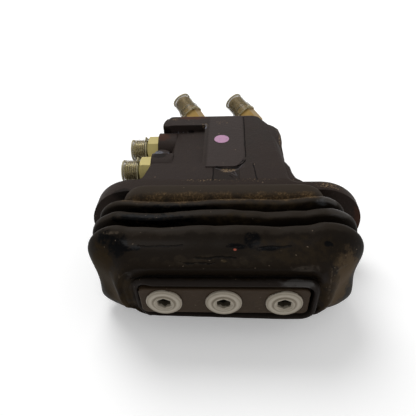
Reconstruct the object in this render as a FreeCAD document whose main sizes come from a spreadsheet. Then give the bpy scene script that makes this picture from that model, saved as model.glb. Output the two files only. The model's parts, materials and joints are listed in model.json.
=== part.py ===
import FreeCAD, Part
import math
import os
import Sketcher

# A hydraulic foot pedal valve, lying on its side.
# X runs along the pedal bar, +Y from the pedal into the valve and +Z is up as the valve lies.
# The origin is the centre of the seat face on the back of the mounting flange.
# Driving sizes are in millimetres, angles in degrees. Lengths along Y are measured from the seat face.

SIZES = {
    # Mounting flange
    "flange_height": 54.0,
    "flange_shelf": 5.5,
    "flange_thickness": 11.0,
    "mount_hole": 11.0,
    "mount_edge": 13.5,
    # Cast body behind the flange
    "body_left": 44.5,
    "body_right": 38.5,
    "body_length": 84.0,
    "neck_left": 47.0,
    "neck_left_root": 51.0,
    "neck_right": 39.9,
    "neck_right_root": 41.3,
    "neck_length": 18.5,
    "neck_fillet": 4.0,
    "far_edge_round": 5.0,
    "far_corner_round": 4.0,
    "bottom_edge_round": 5.0,
    "shoulder_start": 22.0,
    "shoulder_setback": 22.0,
    "shoulder_drop": 10.0,
    "shoulder_arc": 86.0,
    "shoulder_tip": 20.5,
    "shoulder_tip_setback": 15.0,
    "shoulder_depth": 14.0,
    "lobe_right": 40.5,
    "lobe_top": 18.0,
    "lobe_slope_width": 20.0,
    "lobe_slope_rise": 8.0,
    "lobe_corner_width": 16.0,
    "lobe_corner_length": 15.0,
    # Cored recess beside the side ports
    "recess_start": 17.5,
    "recess_setback": 17.0,
    "recess_right": 14.5,
    "recess_depth": 5.0,
    "recess_valley_width": 6.0,
    "recess_valley_depth": 17.5,
    "recess_slope_width": 6.0,
    "recess_fall": 1.0,
    "underside_recess_depth": 3.0,
    # Raised pad on the upper side
    "pad_left": 12.0,
    "pad_right": 13.5,
    "pad_start": 12.5,
    "pad_setback": 6.0,
    "pad_height": 0.7,
    "pad_corner": 9.5,
    # Side ports
    "side_port_height": 9.5,
    "side_port_setback": 22.9,
    "side_port_spacing": 27.5,
    "boss_diameter": 25.0,
    "tank_boss_face": 50.5,
    "pressure_boss_face": 49.0,
    "tank_gallery": 8.0,
    "pressure_gallery": 7.0,
    # Threaded ports and the fittings in them
    "port_thread": 14.3,
    "port_depth": 12.5,
    "port_recess": 17.2,
    "port_recess_depth": 2.0,
    "thread_clearance": 0.03,
    "stud_length": 10.5,
    "stud_undercut": 1.0,
    "stud_chamfer": 0.7,
    "fitting_seat_gap": 0.1,
    "fitting_bore": 7.5,
    "hex_across_flats": 17.5,
    "hex_length": 8.5,
    "hex_bevel_slope": 0.5,
    "union_nose_length": 2.4,
    "union_nose_diameter": 10.6,
    "seal_wire": 1.8,
    "seal_clearance": 0.02,
    # Elbows at the far end
    "elbow_reach": 33.2,
    "elbow_leg": 15.5,
    "elbow_flats": 14.8,
    "elbow_angle": 45.0,
    "elbow_turn_angle_left": 51.0,
    "elbow_turn_angle_right": 57.0,
    "elbow_shank": 12.5,
    "join_overlap": 1.0,
    "cut_margin": 1.0,
    "washer_thickness": 1.2,
    "washer_diameter": 17.0,
    "locknut_length": 7.0,
    # Clear thread protectors
    "cap_wall": 0.7,
    "cap_fit": 0.25,
    "cap_length": 13.6,
    "side_cap_length": 12.0,
    "cap_corner": 1.0,
    "cap_end_gap": 0.3,
    "cap_rim": 1.0,
    "cap_rim_height": 0.8,
    "cap_setback": 0.9,
    # Bores for the two valve cartridges
    "cartridge_spacing": 48.0,
    "guide_diameter": 28.0,
    "guide_length": 19.0,
    "spring_chamber": 23.0,
    "spring_chamber_end": 42.0,
    "spool_diameter": 9.0,
    "annulus_diameter": 20.0,
    "annulus_width": 8.0,
    "outlet_chamber": 12.0,
    "outlet_chamber_depth": 14.5,
    # Cover plate with the pivot lugs
    "cover_span": 104.0,
    "cover_height": 50.0,
    "cover_thickness": 11.0,
    "cover_corner": 18.0,
    "lug_gap": 16.0,
    "lug_thickness": 7.0,
    "lug_radius": 8.0,
    "lug_foot": 24.0,
    "screw_spacing_wide": 82.0,
    "screw_spacing_high": 26.0,
    "screw_diameter": 6.0,
    "screw_engagement": 8.0,
    "screw_head_diameter": 10.0,
    "screw_head_height": 6.0,
    "screw_chamfer": 0.6,
    "screw_hole_spare": 1.0,
    "screw_socket": 5.0,
    "screw_socket_depth": 3.0,
    # Pivot
    "pivot_distance": 36.0,
    "pin_diameter": 8.0,
    "pin_overhang": 1.6,
    "pin_chamfer": 0.4,
    "clip_groove_depth": 0.55,
    "clip_thickness": 0.9,
    "clip_diameter": 12.0,
    "clip_opening": 5.0,
    "bush_wall": 1.4,
    "bush_flange": 0.9,
    "bush_flange_diameter": 15.0,
    "running_clearance": 0.03,
    "side_play": 0.1,
    # Pedal rocker
    "bar_span": 87.5,
    "bar_height": 20.0,
    "bar_thickness": 12.0,
    "bar_face_distance": 70.0,
    "bar_corner": 3.5,
    "bar_edge_round": 0.8,
    "arm_span": 64.0,
    "arm_height": 14.0,
    "hub_radius": 9.5,
    "foot_offset": 8.0,
    "foot_gap": 0.15,
    "tapped_spacing": 31.0,
    "tapped_diameter": 12.0,
    "tapped_depth": 12.0,
    # White plugs in the tapped holes
    "plug_flange": 18.8,
    "plug_flange_thickness": 1.5,
    "plug_flange_round": 0.6,
    "plug_ring": 12.4,
    "plug_ring_height": 0.5,
    "plug_ring_slope": 0.6,
    "plug_dish": 9.6,
    "plug_dish_depth": 0.7,
    "plug_chamfer": 0.8,
    "plug_socket": 7.0,
    "plug_socket_depth": 6.5,
    "plug_length": 10.0,
    # Plungers, their guides and seals
    "plunger_diameter": 12.0,
    "guide_neck_diameter": 18.0,
    "guide_neck_length": 13.0,
    "wiper_diameter": 16.0,
    "wiper_height": 4.0,
    "wiper_lip": 1.2,
    "wiper_lip_height": 2.6,
    "wiper_clearance": 0.05,
    "seal_groove_width": 2.4,
    "plunger_travel_room": 5.4,
    "seat_diameter": 21.4,
    "seat_thickness": 3.0,
    "seat_spigot": 8.6,
    "seat_spigot_length": 3.0,
    "plunger_nose": 5.0,
    # Springs
    "return_spring_diameter": 18.4,
    "return_spring_wire": 2.2,
    "return_spring_turns": 5.0,
    "metering_spring_diameter": 11.4,
    "metering_spring_wire": 1.6,
    "metering_spring_turns": 6.0,
    "spring_seating": 0.1,
    # Spools
    "spool_head_diameter": 13.4,
    "spool_head_thickness": 2.0,
    "spool_head_distance": 36.0,
    "spool_spigot": 8.6,
    "spool_spigot_length": 3.0,
    "spool_neck_diameter": 6.4,
    "spool_neck_length": 9.0,
    "spool_neck_lead": 11.1,
    "spool_drilling": 3.0,
    # Rubber boot
    "boot_wall": 2.6,
    "boot_opening_span": 90.5,
    "boot_opening_height": 25.0,
    "boot_opening_corner": 5.0,
    "boot_lip_span": 76.0,
    "boot_lip_height": 18.0,
    "boot_lip_thickness": 2.4,
    "boot_collar_distance": 70.6,
    "boot_collar_span": 101.0,
    "boot_collar_height": 32.0,
    "boot_collar_rise": 0.5,
    "boot_crevice_distance": 65.2,
    "boot_ridge_distance": 68.0,
    "boot_ridge_span": 107.0,
    "boot_ridge_height": 38.4,
    "boot_ridge_rise": 2.8,
    "boot_shoulder_distance": 61.0,
    "boot_shoulder_span": 122.0,
    "boot_shoulder_height": 51.0,
    "boot_shoulder_rise": 1.0,
    "first_fold_distance": 47.0,
    "first_fold_span": 147.0,
    "first_fold_height": 65.0,
    "first_fold_width": 5.0,
    "second_fold_distance": 35.5,
    "second_fold_span": 147.0,
    "second_fold_height": 63.0,
    "third_fold_distance": 25.6,
    "third_fold_span": 138.0,
    "third_fold_height": 61.0,
    "sharp_fold_width": 1.8,
    "fold_valley_depth": 8.5,
    "fold_valley_height": 5.5,
    "fold_corner": 21.0,
    "boot_ridge_corner": 15.0,
    "boot_shoulder_corner": 17.0,
    "boot_hollow_span": 116.0,
    "boot_hollow_height": 49.0,
    "boot_valley_height": 56.0,
    "boot_bead_span": 115.0,
    "boot_bead_height": 60.0,
    "boot_bead_start": 20.5,
    "boot_bead_step": 1.2,
    "boot_seat_gap": 0.3,
}

doc = FreeCAD.newDocument("foot_pedal_valve")
sheet = doc.addObject("Spreadsheet::Sheet", "sizes")
for row, (alias, value) in enumerate(SIZES.items(), start=1):
    sheet.set("A%d" % row, alias)
    sheet.set("B%d" % row, str(value))
    sheet.setAlias("B%d" % row, alias)
doc.recompute()


class Size:
    """A length with the sheet expression that it comes from."""

    def __init__(self, number, text):
        self.number = number
        self.text = text

    def __add__(self, other):
        return combined(self, "+", other)

    def __radd__(self, other):
        return combined(other, "+", self)

    def __sub__(self, other):
        return combined(self, "-", other)

    def __rsub__(self, other):
        return combined(other, "-", self)

    def __mul__(self, other):
        return combined(self, "*", other)

    def __rmul__(self, other):
        return combined(other, "*", self)

    def __truediv__(self, other):
        return combined(self, "/", other)

    def __neg__(self):
        return combined(0, "-", self)


def as_size(value):
    if isinstance(value, Size):
        return value
    return Size(float(value), "(%.9f)" % value)


def combined(first, sign, second):
    first = as_size(first)
    second = as_size(second)
    results = {
        "+": first.number + second.number,
        "-": first.number - second.number,
        "*": first.number * second.number,
        "/": first.number / second.number if second.number else 0.0,
    }
    return Size(results[sign], "(%s %s %s)" % (first.text, sign, second.text))


def root(value):
    """Square root of a size."""
    return Size(math.sqrt(value.number), "sqrt(%s)" % value.text)


class Sheet:
    """Gives each driving size by its name."""

    def __getattr__(self, name):
        return Size(float(sheet.get(name)), "sizes." + name)


D = Sheet()
X_AXIS = FreeCAD.Vector(1, 0, 0)
Y_AXIS = FreeCAD.Vector(0, 1, 0)
Z_AXIS = FreeCAD.Vector(0, 0, 1)
TO_FAR_END = FreeCAD.Rotation(X_AXIS, -90)
TO_PEDAL = FreeCAD.Rotation(X_AXIS, 90)
TO_LEFT = FreeCAD.Rotation(Y_AXIS, -90)
UPRIGHT = FreeCAD.Rotation()
SIDES = (("left", -1), ("right", 1))

# The least volume that a cut takes away, in cubic millimetres
LEAST_CUT = 0.01
SUBPARTS = []


def bind(piece, path, value):
    """Tie one property of a piece to the sheet."""
    piece.setExpression(path, as_size(value).text)


def place(piece, base, rotation=UPRIGHT):
    piece.Placement = FreeCAD.Placement(FreeCAD.Vector(0, 0, 0), rotation)
    for axis, value in zip("xyz", base):
        bind(piece, "Placement.Base." + axis, value)


def new_body(label, base=(0, 0, 0), rotation=UPRIGHT):
    body = doc.addObject("PartDesign::Body", label)
    body.Label = label
    place(body, base, rotation)
    SUBPARTS.append(body)
    return body


def new_sketch(body, name, plane, offset=0):
    """An empty sketch on one of the body's own origin planes, or parallel to it."""
    sketch = body.newObject("Sketcher::SketchObject", name)
    origin_plane = next(f for f in body.Origin.OriginFeatures if f.Role == plane)
    sketch.AttachmentSupport = [(origin_plane, "")]
    sketch.MapMode = "FlatFace"
    bind(sketch, "AttachmentOffset.Base.z", offset)
    return sketch


def pin_point(sketch, element, end, corner):
    """Fix one end of a line or arc at a corner."""
    for kind, value in zip(("DistanceX", "DistanceY"), corner):
        size = as_size(value)
        index = sketch.addConstraint(Sketcher.Constraint(kind, -1, 1, element, end, size.number))
        bind(sketch, "Constraints[%d]" % index, size)


def outline(sketch, corners, arcs=None):
    """A closed outline. arcs maps a corner's number to the radius and centre of the arc that starts there."""
    arcs = arcs or {}
    points = [FreeCAD.Vector(as_size(x).number, as_size(y).number, 0) for x, y in corners]
    first = sketch.GeometryCount
    ends = []
    for i, start in enumerate(points):
        finish = points[(i + 1) % len(points)]
        if i in arcs:
            radius, centre = arcs[i]
            middle = FreeCAD.Vector(as_size(centre[0]).number, as_size(centre[1]).number, 0)
            outward = (start + finish) * 0.5 - middle
            if outward.Length < 1e-6:
                outward = (finish - start).cross(Z_AXIS)
            crown = middle + outward.normalize() * as_size(radius).number
            element = sketch.addGeometry(Part.Arc(start, crown, finish), False)
            forward = sketch.getPoint(element, 1).distanceToPoint(start) < 1e-6
            ends.append((1, 2) if forward else (2, 1))
        else:
            sketch.addGeometry(Part.LineSegment(start, finish), False)
            ends.append((1, 2))
    for i, corner in enumerate(corners):
        following = (i + 1) % len(corners)
        sketch.addConstraint(Sketcher.Constraint(
            "Coincident", first + i, ends[i][1], first + following, ends[following][0]))
        pin_point(sketch, first + i, ends[i][0], corner)
    for i, (radius, centre) in arcs.items():
        size = as_size(radius)
        chord = points[(i + 1) % len(points)] - points[i]
        if abs(chord.Length - 2 * size.number) > 1e-6:
            index = sketch.addConstraint(Sketcher.Constraint("Radius", first + i, size.number))
        else:
            # A half circle's ends already give its radius, so its centre is held on their line
            kind, size = ("DistanceX", centre[0]) if abs(chord.y) > abs(chord.x) else ("DistanceY", centre[1])
            size = as_size(size)
            index = sketch.addConstraint(Sketcher.Constraint(kind, -1, 1, first + i, 3, size.number))
        bind(sketch, "Constraints[%d]" % index, size)


def circle(sketch, centre, radius):
    middle = FreeCAD.Vector(as_size(centre[0]).number, as_size(centre[1]).number, 0)
    size = as_size(radius)
    element = sketch.addGeometry(Part.Circle(middle, Z_AXIS, size.number), False)
    pin_point(sketch, element, 3, centre)
    index = sketch.addConstraint(Sketcher.Constraint("Radius", element, size.number))
    bind(sketch, "Constraints[%d]" % index, size)


def rectangle(sketch, low, high):
    outline(sketch, [(low[0], low[1]), (high[0], low[1]), (high[0], high[1]), (low[0], high[1])])


def round_rectangle(sketch, span, height, corner, rise=0):
    """A rectangle about the sketch's upright axis with its corners rounded, its centre at the rise."""
    wide = span / 2
    high = height / 2
    corners = []
    arcs = {}
    for x_sign, y_sign, side_first in ((1, -1, False), (1, 1, True), (-1, 1, False), (-1, -1, True)):
        level = (x_sign * (wide - corner), rise + y_sign * high)
        upright = (x_sign * wide, rise + y_sign * (high - corner))
        arcs[len(corners)] = (corner, (x_sign * (wide - corner), rise + y_sign * (high - corner)))
        corners += [upright, level] if side_first else [level, upright]
    outline(sketch, corners, arcs)


def hexagon(sketch, across_flats):
    corners = []
    for i in range(6):
        angle = math.radians(60 * i + 30)
        reach = 1 / math.sqrt(3)
        corners.append((across_flats * (reach * math.cos(angle)), across_flats * (reach * math.sin(angle))))
    outline(sketch, corners)


def pad(body, sketch, length, reverse=False):
    feature = body.newObject("PartDesign::Pad", sketch.Name + "_pad")
    feature.Profile = sketch
    bind(feature, "Length", length)
    feature.Reversed = reverse
    sketch.Visibility = False
    return feature


def pocket(body, sketch, depth, reverse=False):
    """A straight cut. It fails loudly where it removes nothing."""
    doc.recompute()
    before = body.Shape.Volume
    feature = body.newObject("PartDesign::Pocket", sketch.Name + "_pocket")
    feature.Profile = sketch
    bind(feature, "Length", depth)
    feature.Reversed = reverse
    doc.recompute()
    if body.Shape.Volume > before - LEAST_CUT:
        raise RuntimeError("the cut %s removes nothing" % sketch.Name)
    return feature


def revolved(body, sketch, kind="Revolution", axis="V_Axis"):
    """A full turn about the sketch's upright axis, or about its first construction line."""
    feature = body.newObject("PartDesign::" + kind, sketch.Name + "_turn")
    feature.Profile = sketch
    feature.ReferenceAxis = (sketch, [axis])
    feature.Angle = 360
    return feature


def turned(label, profile, base, rotation, arcs=None):
    """A lathe-turned piece about its own Z, from a half profile of radius and height."""
    body = new_body(label, base, rotation)
    sketch = new_sketch(body, label + "_profile", "XZ_Plane")
    outline(sketch, profile, arcs)
    revolved(body, sketch)
    return body


def bore_cut(body, name, centre_x, profile):
    """A stepped bore parallel to Y, from a half profile of radius and place along Y."""
    sketch = new_sketch(body, name, "XY_Plane")
    outline(sketch, [(centre_x + radius, along) for radius, along in profile])
    ends = [(centre_x, profile[0][1]), (centre_x, profile[-1][1])]
    low, high = [FreeCAD.Vector(as_size(x).number, as_size(y).number, 0) for x, y in ends]
    line = sketch.addGeometry(Part.LineSegment(low, high), True)
    pin_point(sketch, line, 1, ends[0])
    pin_point(sketch, line, 2, ends[1])
    doc.recompute()
    before = body.Shape.Volume
    revolved(body, sketch, "Groove", "Axis0")
    doc.recompute()
    if body.Shape.Volume > before - LEAST_CUT:
        raise RuntimeError("the bore %s removes nothing" % name)


def softened(body, kind, size, wanted):
    """Round or chamfer the edges of the newest shape that the test picks."""
    doc.recompute()
    base = body.Tip
    names = ["Edge%d" % (i + 1) for i, edge in enumerate(base.Shape.Edges) if wanted(edge)]
    if not names:
        raise RuntimeError("no edge of %s is picked" % body.Label)
    feature = body.newObject("PartDesign::" + kind, body.Name + "_" + kind.lower())
    feature.Base = (base, names)
    bind(feature, "Radius" if kind == "Fillet" else "Size", size)
    doc.recompute()
    return feature


def along(edge, axis):
    """True for a straight edge parallel to the axis."""
    if edge.Curve.TypeId != "Part::GeomLine":
        return False
    return abs(abs(edge.Curve.Direction.dot(axis)) - 1) < 1e-6


def near(value, size):
    return abs(value - as_size(size).number) < 0.05


# Places that several pieces share
HALF = D.flange_height / 2
FLANGE_STRAIGHT = D.neck_left_root + D.flange_shelf
MOUNT_REACH = FLANGE_STRAIGHT + HALF - D.mount_edge
COVER_BACK = -D.flange_thickness
COVER_FRONT = COVER_BACK - D.cover_thickness
CARTRIDGE = D.cartridge_spacing / 2
PIVOT = -D.pivot_distance
FOOT = PIVOT - D.foot_offset
LUG_INNER = D.lug_gap / 2
LUG_OUTER = LUG_INNER + D.lug_thickness
GUIDE_BOTTOM = COVER_BACK + D.guide_length
GUIDE_TOP = COVER_BACK - D.guide_neck_length
SEAT_TOP = GUIDE_BOTTOM + D.plunger_travel_room
SEAT_BOTTOM = SEAT_TOP + D.seat_thickness
THREAD_RADIUS = D.port_thread / 2 - D.thread_clearance
PRESSURE_PORT = D.body_length - D.side_port_setback
TANK_PORT = PRESSURE_PORT - D.side_port_spacing
RECESS_END = D.body_length - D.recess_setback
SPOOL_BORE_END = D.body_length - D.outlet_chamber_depth
SIDE_PORTS = (
    ("tank", TANK_PORT, D.tank_boss_face, D.tank_gallery),
    ("pressure", PRESSURE_PORT, D.pressure_boss_face, D.pressure_gallery),
)


def valve_housing():
    body = new_body("valve_housing")
    flange = new_sketch(body, "flange_outline", "XZ_Plane")
    outline(flange, [
        (-FLANGE_STRAIGHT, -HALF),
        (FLANGE_STRAIGHT, -HALF),
        (FLANGE_STRAIGHT, HALF),
        (-FLANGE_STRAIGHT, HALF),
    ], {1: (HALF, (FLANGE_STRAIGHT, 0)), 3: (HALF, (-FLANGE_STRAIGHT, 0))})
    for _, side in SIDES:
        circle(flange, (side * MOUNT_REACH, 0), D.mount_hole / 2)
    pad(body, flange, D.flange_thickness)

    # The casting's cross-section, with the lobe over the right cartridge standing lower than the top
    lobe = new_sketch(body, "body_section", "XZ_Plane")
    lobe_edge = D.lobe_right - D.lobe_slope_width
    outline(lobe, [
        (-D.body_left, -HALF),
        (D.lobe_right, -HALF),
        (D.lobe_right, D.lobe_top),
        (lobe_edge, D.lobe_top + D.lobe_slope_rise),
        (-D.body_left, D.lobe_top + D.lobe_slope_rise),
    ])
    pad(body, lobe, D.body_length, reverse=True)

    corner = new_sketch(body, "lobe_corner", "XY_Plane", -HALF)
    outline(corner, [
        (D.lobe_right - D.lobe_corner_width, D.body_length),
        (D.lobe_right, D.body_length - D.lobe_corner_length),
        (D.lobe_right + D.cut_margin, D.body_length - D.lobe_corner_length),
        (D.lobe_right + D.cut_margin, D.body_length + D.cut_margin),
        (D.lobe_right - D.lobe_corner_width, D.body_length + D.cut_margin),
    ])
    pocket(body, corner, D.flange_height, reverse=True)

    # The flat top, whose right edge sweeps inwards towards the far end
    top = new_sketch(body, "top_outline", "XY_Plane", HALF - D.shoulder_depth)
    waist = D.body_right - D.shoulder_drop
    outline(top, [
        (-D.body_left, 0),
        (D.body_right, 0),
        (D.body_right, D.shoulder_start),
        (waist, D.body_length - D.shoulder_setback),
        (D.shoulder_tip, D.body_length - D.shoulder_tip_setback),
        (D.shoulder_tip, D.body_length),
        (-D.body_left, D.body_length),
    ], {2: (D.shoulder_arc, (D.body_right - D.shoulder_arc, D.shoulder_start))})
    pad(body, top, D.shoulder_depth)

    # The neck widens towards the flange on both sides
    neck = new_sketch(body, "neck_outline", "XY_Plane", -HALF)
    outline(neck, [
        (-D.neck_left_root, 0),
        (D.neck_right_root, 0),
        (D.neck_right, D.neck_length),
        (-D.neck_left, D.neck_length),
    ])
    pad(body, neck, D.flange_height)

    # Sloping recess on the upper side, dropping to a valley between the port bosses
    floor = HALF - D.recess_depth
    valley = -D.body_left + D.recess_valley_width
    recess = new_sketch(body, "recess_section", "XZ_Plane", -D.recess_start)
    outline(recess, [
        (-D.neck_left_root, HALF + D.cut_margin),
        (-D.neck_left_root, HALF - D.recess_valley_depth),
        (valley - D.recess_slope_width / 2, HALF - D.recess_valley_depth),
        (valley + D.recess_slope_width / 2, floor - D.recess_fall),
        (-D.recess_right, floor),
        (-D.recess_right, HALF + D.cut_margin),
    ])
    pocket(body, recess, RECESS_END - D.recess_start)

    for name, length, face, _ in SIDE_PORTS:
        boss = new_sketch(body, name + "_boss", "YZ_Plane", -face)
        circle(boss, (length, D.side_port_height), D.boss_diameter / 2)
        pad(body, boss, face - D.body_left + D.recess_valley_width + D.recess_slope_width / 2)

    # Shallow cored field on the underside
    field = new_sketch(body, "underside_field", "XY_Plane", -HALF)
    rectangle(field, (-D.body_left + D.recess_valley_width, D.recess_start), (D.recess_right, RECESS_END))
    pocket(body, field, D.underside_recess_depth, reverse=True)

    plate = new_sketch(body, "raised_pad", "XY_Plane", HALF)
    outline(plate, [
        (-D.pad_left, D.pad_start),
        (D.pad_right - D.pad_corner, D.pad_start),
        (D.pad_right, D.pad_start + D.pad_corner),
        (D.pad_right, D.body_length - D.pad_setback),
        (-D.pad_left, D.body_length - D.pad_setback),
    ], {1: (D.pad_corner, (D.pad_right - D.pad_corner, D.pad_start + D.pad_corner))})
    pad(body, plate, D.pad_height)

    soften_housing(body)
    bore_housing(body)


def soften_housing(body):
    """Cast roundings, largest first."""

    def far_top(edge):
        centre = edge.CenterOfMass
        return along(edge, X_AXIS) and near(centre.y, D.body_length) and centre.z > HALF.number / 2

    def far_corner(edge):
        centre = edge.CenterOfMass
        return along(edge, Z_AXIS) and near(centre.y, D.body_length) and near(centre.x, -D.body_left)

    def neck_root(edge):
        centre = edge.CenterOfMass
        at_side = near(centre.x, D.neck_right_root) or near(centre.x, -D.neck_left_root)
        return along(edge, Z_AXIS) and near(centre.y, 0) and at_side

    def long_bottom(edge):
        centre = edge.CenterOfMass
        at_side = near(centre.x, -D.body_left) or near(centre.x, D.lobe_right)
        return along(edge, Y_AXIS) and near(centre.z, -HALF) and at_side

    softened(body, "Fillet", D.neck_fillet, neck_root)
    softened(body, "Fillet", D.bottom_edge_round, long_bottom)
    softened(body, "Fillet", D.far_corner_round, far_corner)
    softened(body, "Fillet", D.far_edge_round, far_top)


def bore_housing(body):
    for name, side in SIDES:
        middle = side * CARTRIDGE
        annulus_low = PRESSURE_PORT - D.annulus_width / 2
        spool_bore = D.spool_diameter / 2 + D.running_clearance
        bore_cut(body, "cartridge_bore_" + name, middle, [
            (0, COVER_BACK),
            (D.guide_diameter / 2, COVER_BACK),
            (D.guide_diameter / 2, GUIDE_BOTTOM),
            (D.spring_chamber / 2, GUIDE_BOTTOM),
            (D.spring_chamber / 2, D.spring_chamber_end),
            (spool_bore, D.spring_chamber_end),
            (spool_bore, annulus_low),
            (D.annulus_diameter / 2, annulus_low),
            (D.annulus_diameter / 2, annulus_low + D.annulus_width),
            (spool_bore, annulus_low + D.annulus_width),
            (spool_bore, SPOOL_BORE_END),
            (D.outlet_chamber / 2, SPOOL_BORE_END),
            (D.outlet_chamber / 2, D.body_length - D.port_depth),
            (D.port_thread / 2, D.body_length - D.port_depth),
            (D.port_thread / 2, D.body_length - D.port_recess_depth),
            (D.port_recess / 2, D.body_length - D.port_recess_depth),
            (D.port_recess / 2, D.body_length),
            (0, D.body_length),
        ])
    for name, length, face, gallery in SIDE_PORTS:
        steps = (
            ("recess", D.port_recess, D.port_recess_depth),
            ("thread", D.port_thread, D.port_depth),
            ("gallery", gallery, face + CARTRIDGE),
        )
        for step, diameter, depth in steps:
            hole = new_sketch(body, "%s_%s" % (name, step), "YZ_Plane", -face)
            circle(hole, (length, D.side_port_height), diameter / 2)
            pocket(body, hole, depth, reverse=True)
    screws = new_sketch(body, "screw_holes", "XZ_Plane", -COVER_BACK)
    for x_sign, z_sign in SCREW_CORNERS:
        circle(screws, screw_place(x_sign, z_sign), D.screw_diameter / 2 + D.thread_clearance)
    pocket(body, screws, D.screw_engagement + D.screw_hole_spare)


SCREW_CORNERS = ((-1, -1), (1, -1), (1, 1), (-1, 1))


def screw_place(x_sign, z_sign):
    return (x_sign * D.screw_spacing_wide / 2, z_sign * D.screw_spacing_high / 2)


def cover_plate():
    """Clamps the guides and carries the two pivot lugs."""
    body = new_body("cover_plate")
    plate = new_sketch(body, "cover_outline", "XZ_Plane", -COVER_BACK)
    round_rectangle(plate, D.cover_span, D.cover_height, D.cover_corner)
    for _, side in SIDES:
        circle(plate, (side * CARTRIDGE, 0), D.guide_neck_diameter / 2 + D.running_clearance)
    for x_sign, z_sign in SCREW_CORNERS:
        circle(plate, screw_place(x_sign, z_sign), D.screw_diameter / 2 + D.boot_seat_gap)
    pad(body, plate, D.cover_thickness)

    # Each lug narrows from its foot to a round eye at the pivot
    rise = COVER_FRONT - PIVOT
    foot = D.lug_foot / 2
    reach = root(rise * rise + foot * foot)
    lean = D.lug_radius / reach
    side_run = root(reach * reach - D.lug_radius * D.lug_radius) / reach
    touch_x = D.lug_radius * (rise / reach * side_run + foot / reach * lean)
    touch_y = D.lug_radius * (foot / reach * side_run - rise / reach * lean)
    for name, low in (("upper", LUG_INNER), ("lower", -LUG_OUTER)):
        lug = new_sketch(body, name + "_lug", "XY_Plane", low)
        outline(lug, [
            (-foot, COVER_FRONT + D.cover_thickness / 2),
            (foot, COVER_FRONT + D.cover_thickness / 2),
            (foot, COVER_FRONT),
            (touch_x, PIVOT - touch_y),
            (-touch_x, PIVOT - touch_y),
            (-foot, COVER_FRONT),
        ], {3: (D.lug_radius, (0, PIVOT))})
        pad(body, lug, D.lug_thickness)
    eye = new_sketch(body, "pivot_eye", "XY_Plane", -LUG_OUTER)
    circle(eye, (0, PIVOT), D.pin_diameter / 2 + D.running_clearance)
    pocket(body, eye, LUG_OUTER * 2, reverse=True)


def hex_pocket(body, name, across_flats, top, depth):
    """A hexagon socket sunk along the piece's own Z from its top."""
    socket = new_sketch(body, name, "XY_Plane", top)
    hexagon(socket, across_flats)
    pocket(body, socket, depth)


def cover_screws():
    for number, (x_sign, z_sign) in enumerate(SCREW_CORNERS, start=1):
        x, z = screw_place(x_sign, z_sign)
        shank = D.screw_diameter / 2
        head = D.screw_head_diameter / 2
        length = D.cover_thickness + D.screw_engagement
        body = turned("cover_screw_%d" % number, [
            (0, -length),
            (shank - D.screw_chamfer, -length),
            (shank, -length + D.screw_chamfer),
            (shank, 0),
            (head, 0),
            (head, D.screw_head_height - D.screw_chamfer),
            (head - D.screw_chamfer, D.screw_head_height),
            (0, D.screw_head_height),
        ], (x, COVER_FRONT, z), TO_PEDAL)
        hex_pocket(body, "socket_%d" % number, D.screw_socket, D.screw_head_height, D.screw_socket_depth)


def guides_and_seals():
    for name, side in SIDES:
        x = side * CARTRIDGE
        outer = D.guide_diameter / 2 - D.running_clearance
        neck = D.guide_neck_diameter / 2
        bore = D.plunger_diameter / 2 + D.running_clearance
        wiper = D.wiper_diameter / 2
        seal = D.seal_wire / 2
        seal_middle = outer - seal
        groove = seal_middle - seal - D.seal_clearance
        seal_place = -D.guide_length / 2
        groove_half = D.seal_groove_width / 2
        turned("plunger_guide_" + name, [
            (bore, -D.guide_length),
            (outer, -D.guide_length),
            (outer, seal_place - groove_half),
            (groove, seal_place - groove_half),
            (groove, seal_place + groove_half),
            (outer, seal_place + groove_half),
            (outer, 0),
            (neck, 0),
            (neck, D.guide_neck_length),
            (wiper, D.guide_neck_length),
            (wiper, D.guide_neck_length - D.wiper_height),
            (bore, D.guide_neck_length - D.wiper_height),
        ], (x, COVER_BACK, 0), TO_PEDAL)
        ring("guide_seal_" + name, seal_middle, seal, (x, COVER_BACK - seal_place, 0), TO_PEDAL)
        lip = bore + D.wiper_lip
        rim = wiper - D.wiper_clearance
        turned("wiper_seal_" + name, [
            (bore, 0),
            (rim, 0),
            (rim, D.wiper_height),
            (lip, D.wiper_height),
            (lip, D.wiper_height - D.wiper_lip_height),
            (bore, D.wiper_height),
        ], (x, GUIDE_TOP + D.wiper_height, 0), TO_PEDAL)


def ring(label, middle_radius, wire_radius, base, rotation):
    """A seal ring about its own Z, turned from a six-sided section."""
    section = []
    for i in range(6):
        angle = math.radians(60 * i)
        section.append((middle_radius + wire_radius * math.cos(angle), wire_radius * math.sin(angle)))
    return turned(label, section, base, rotation)


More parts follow.
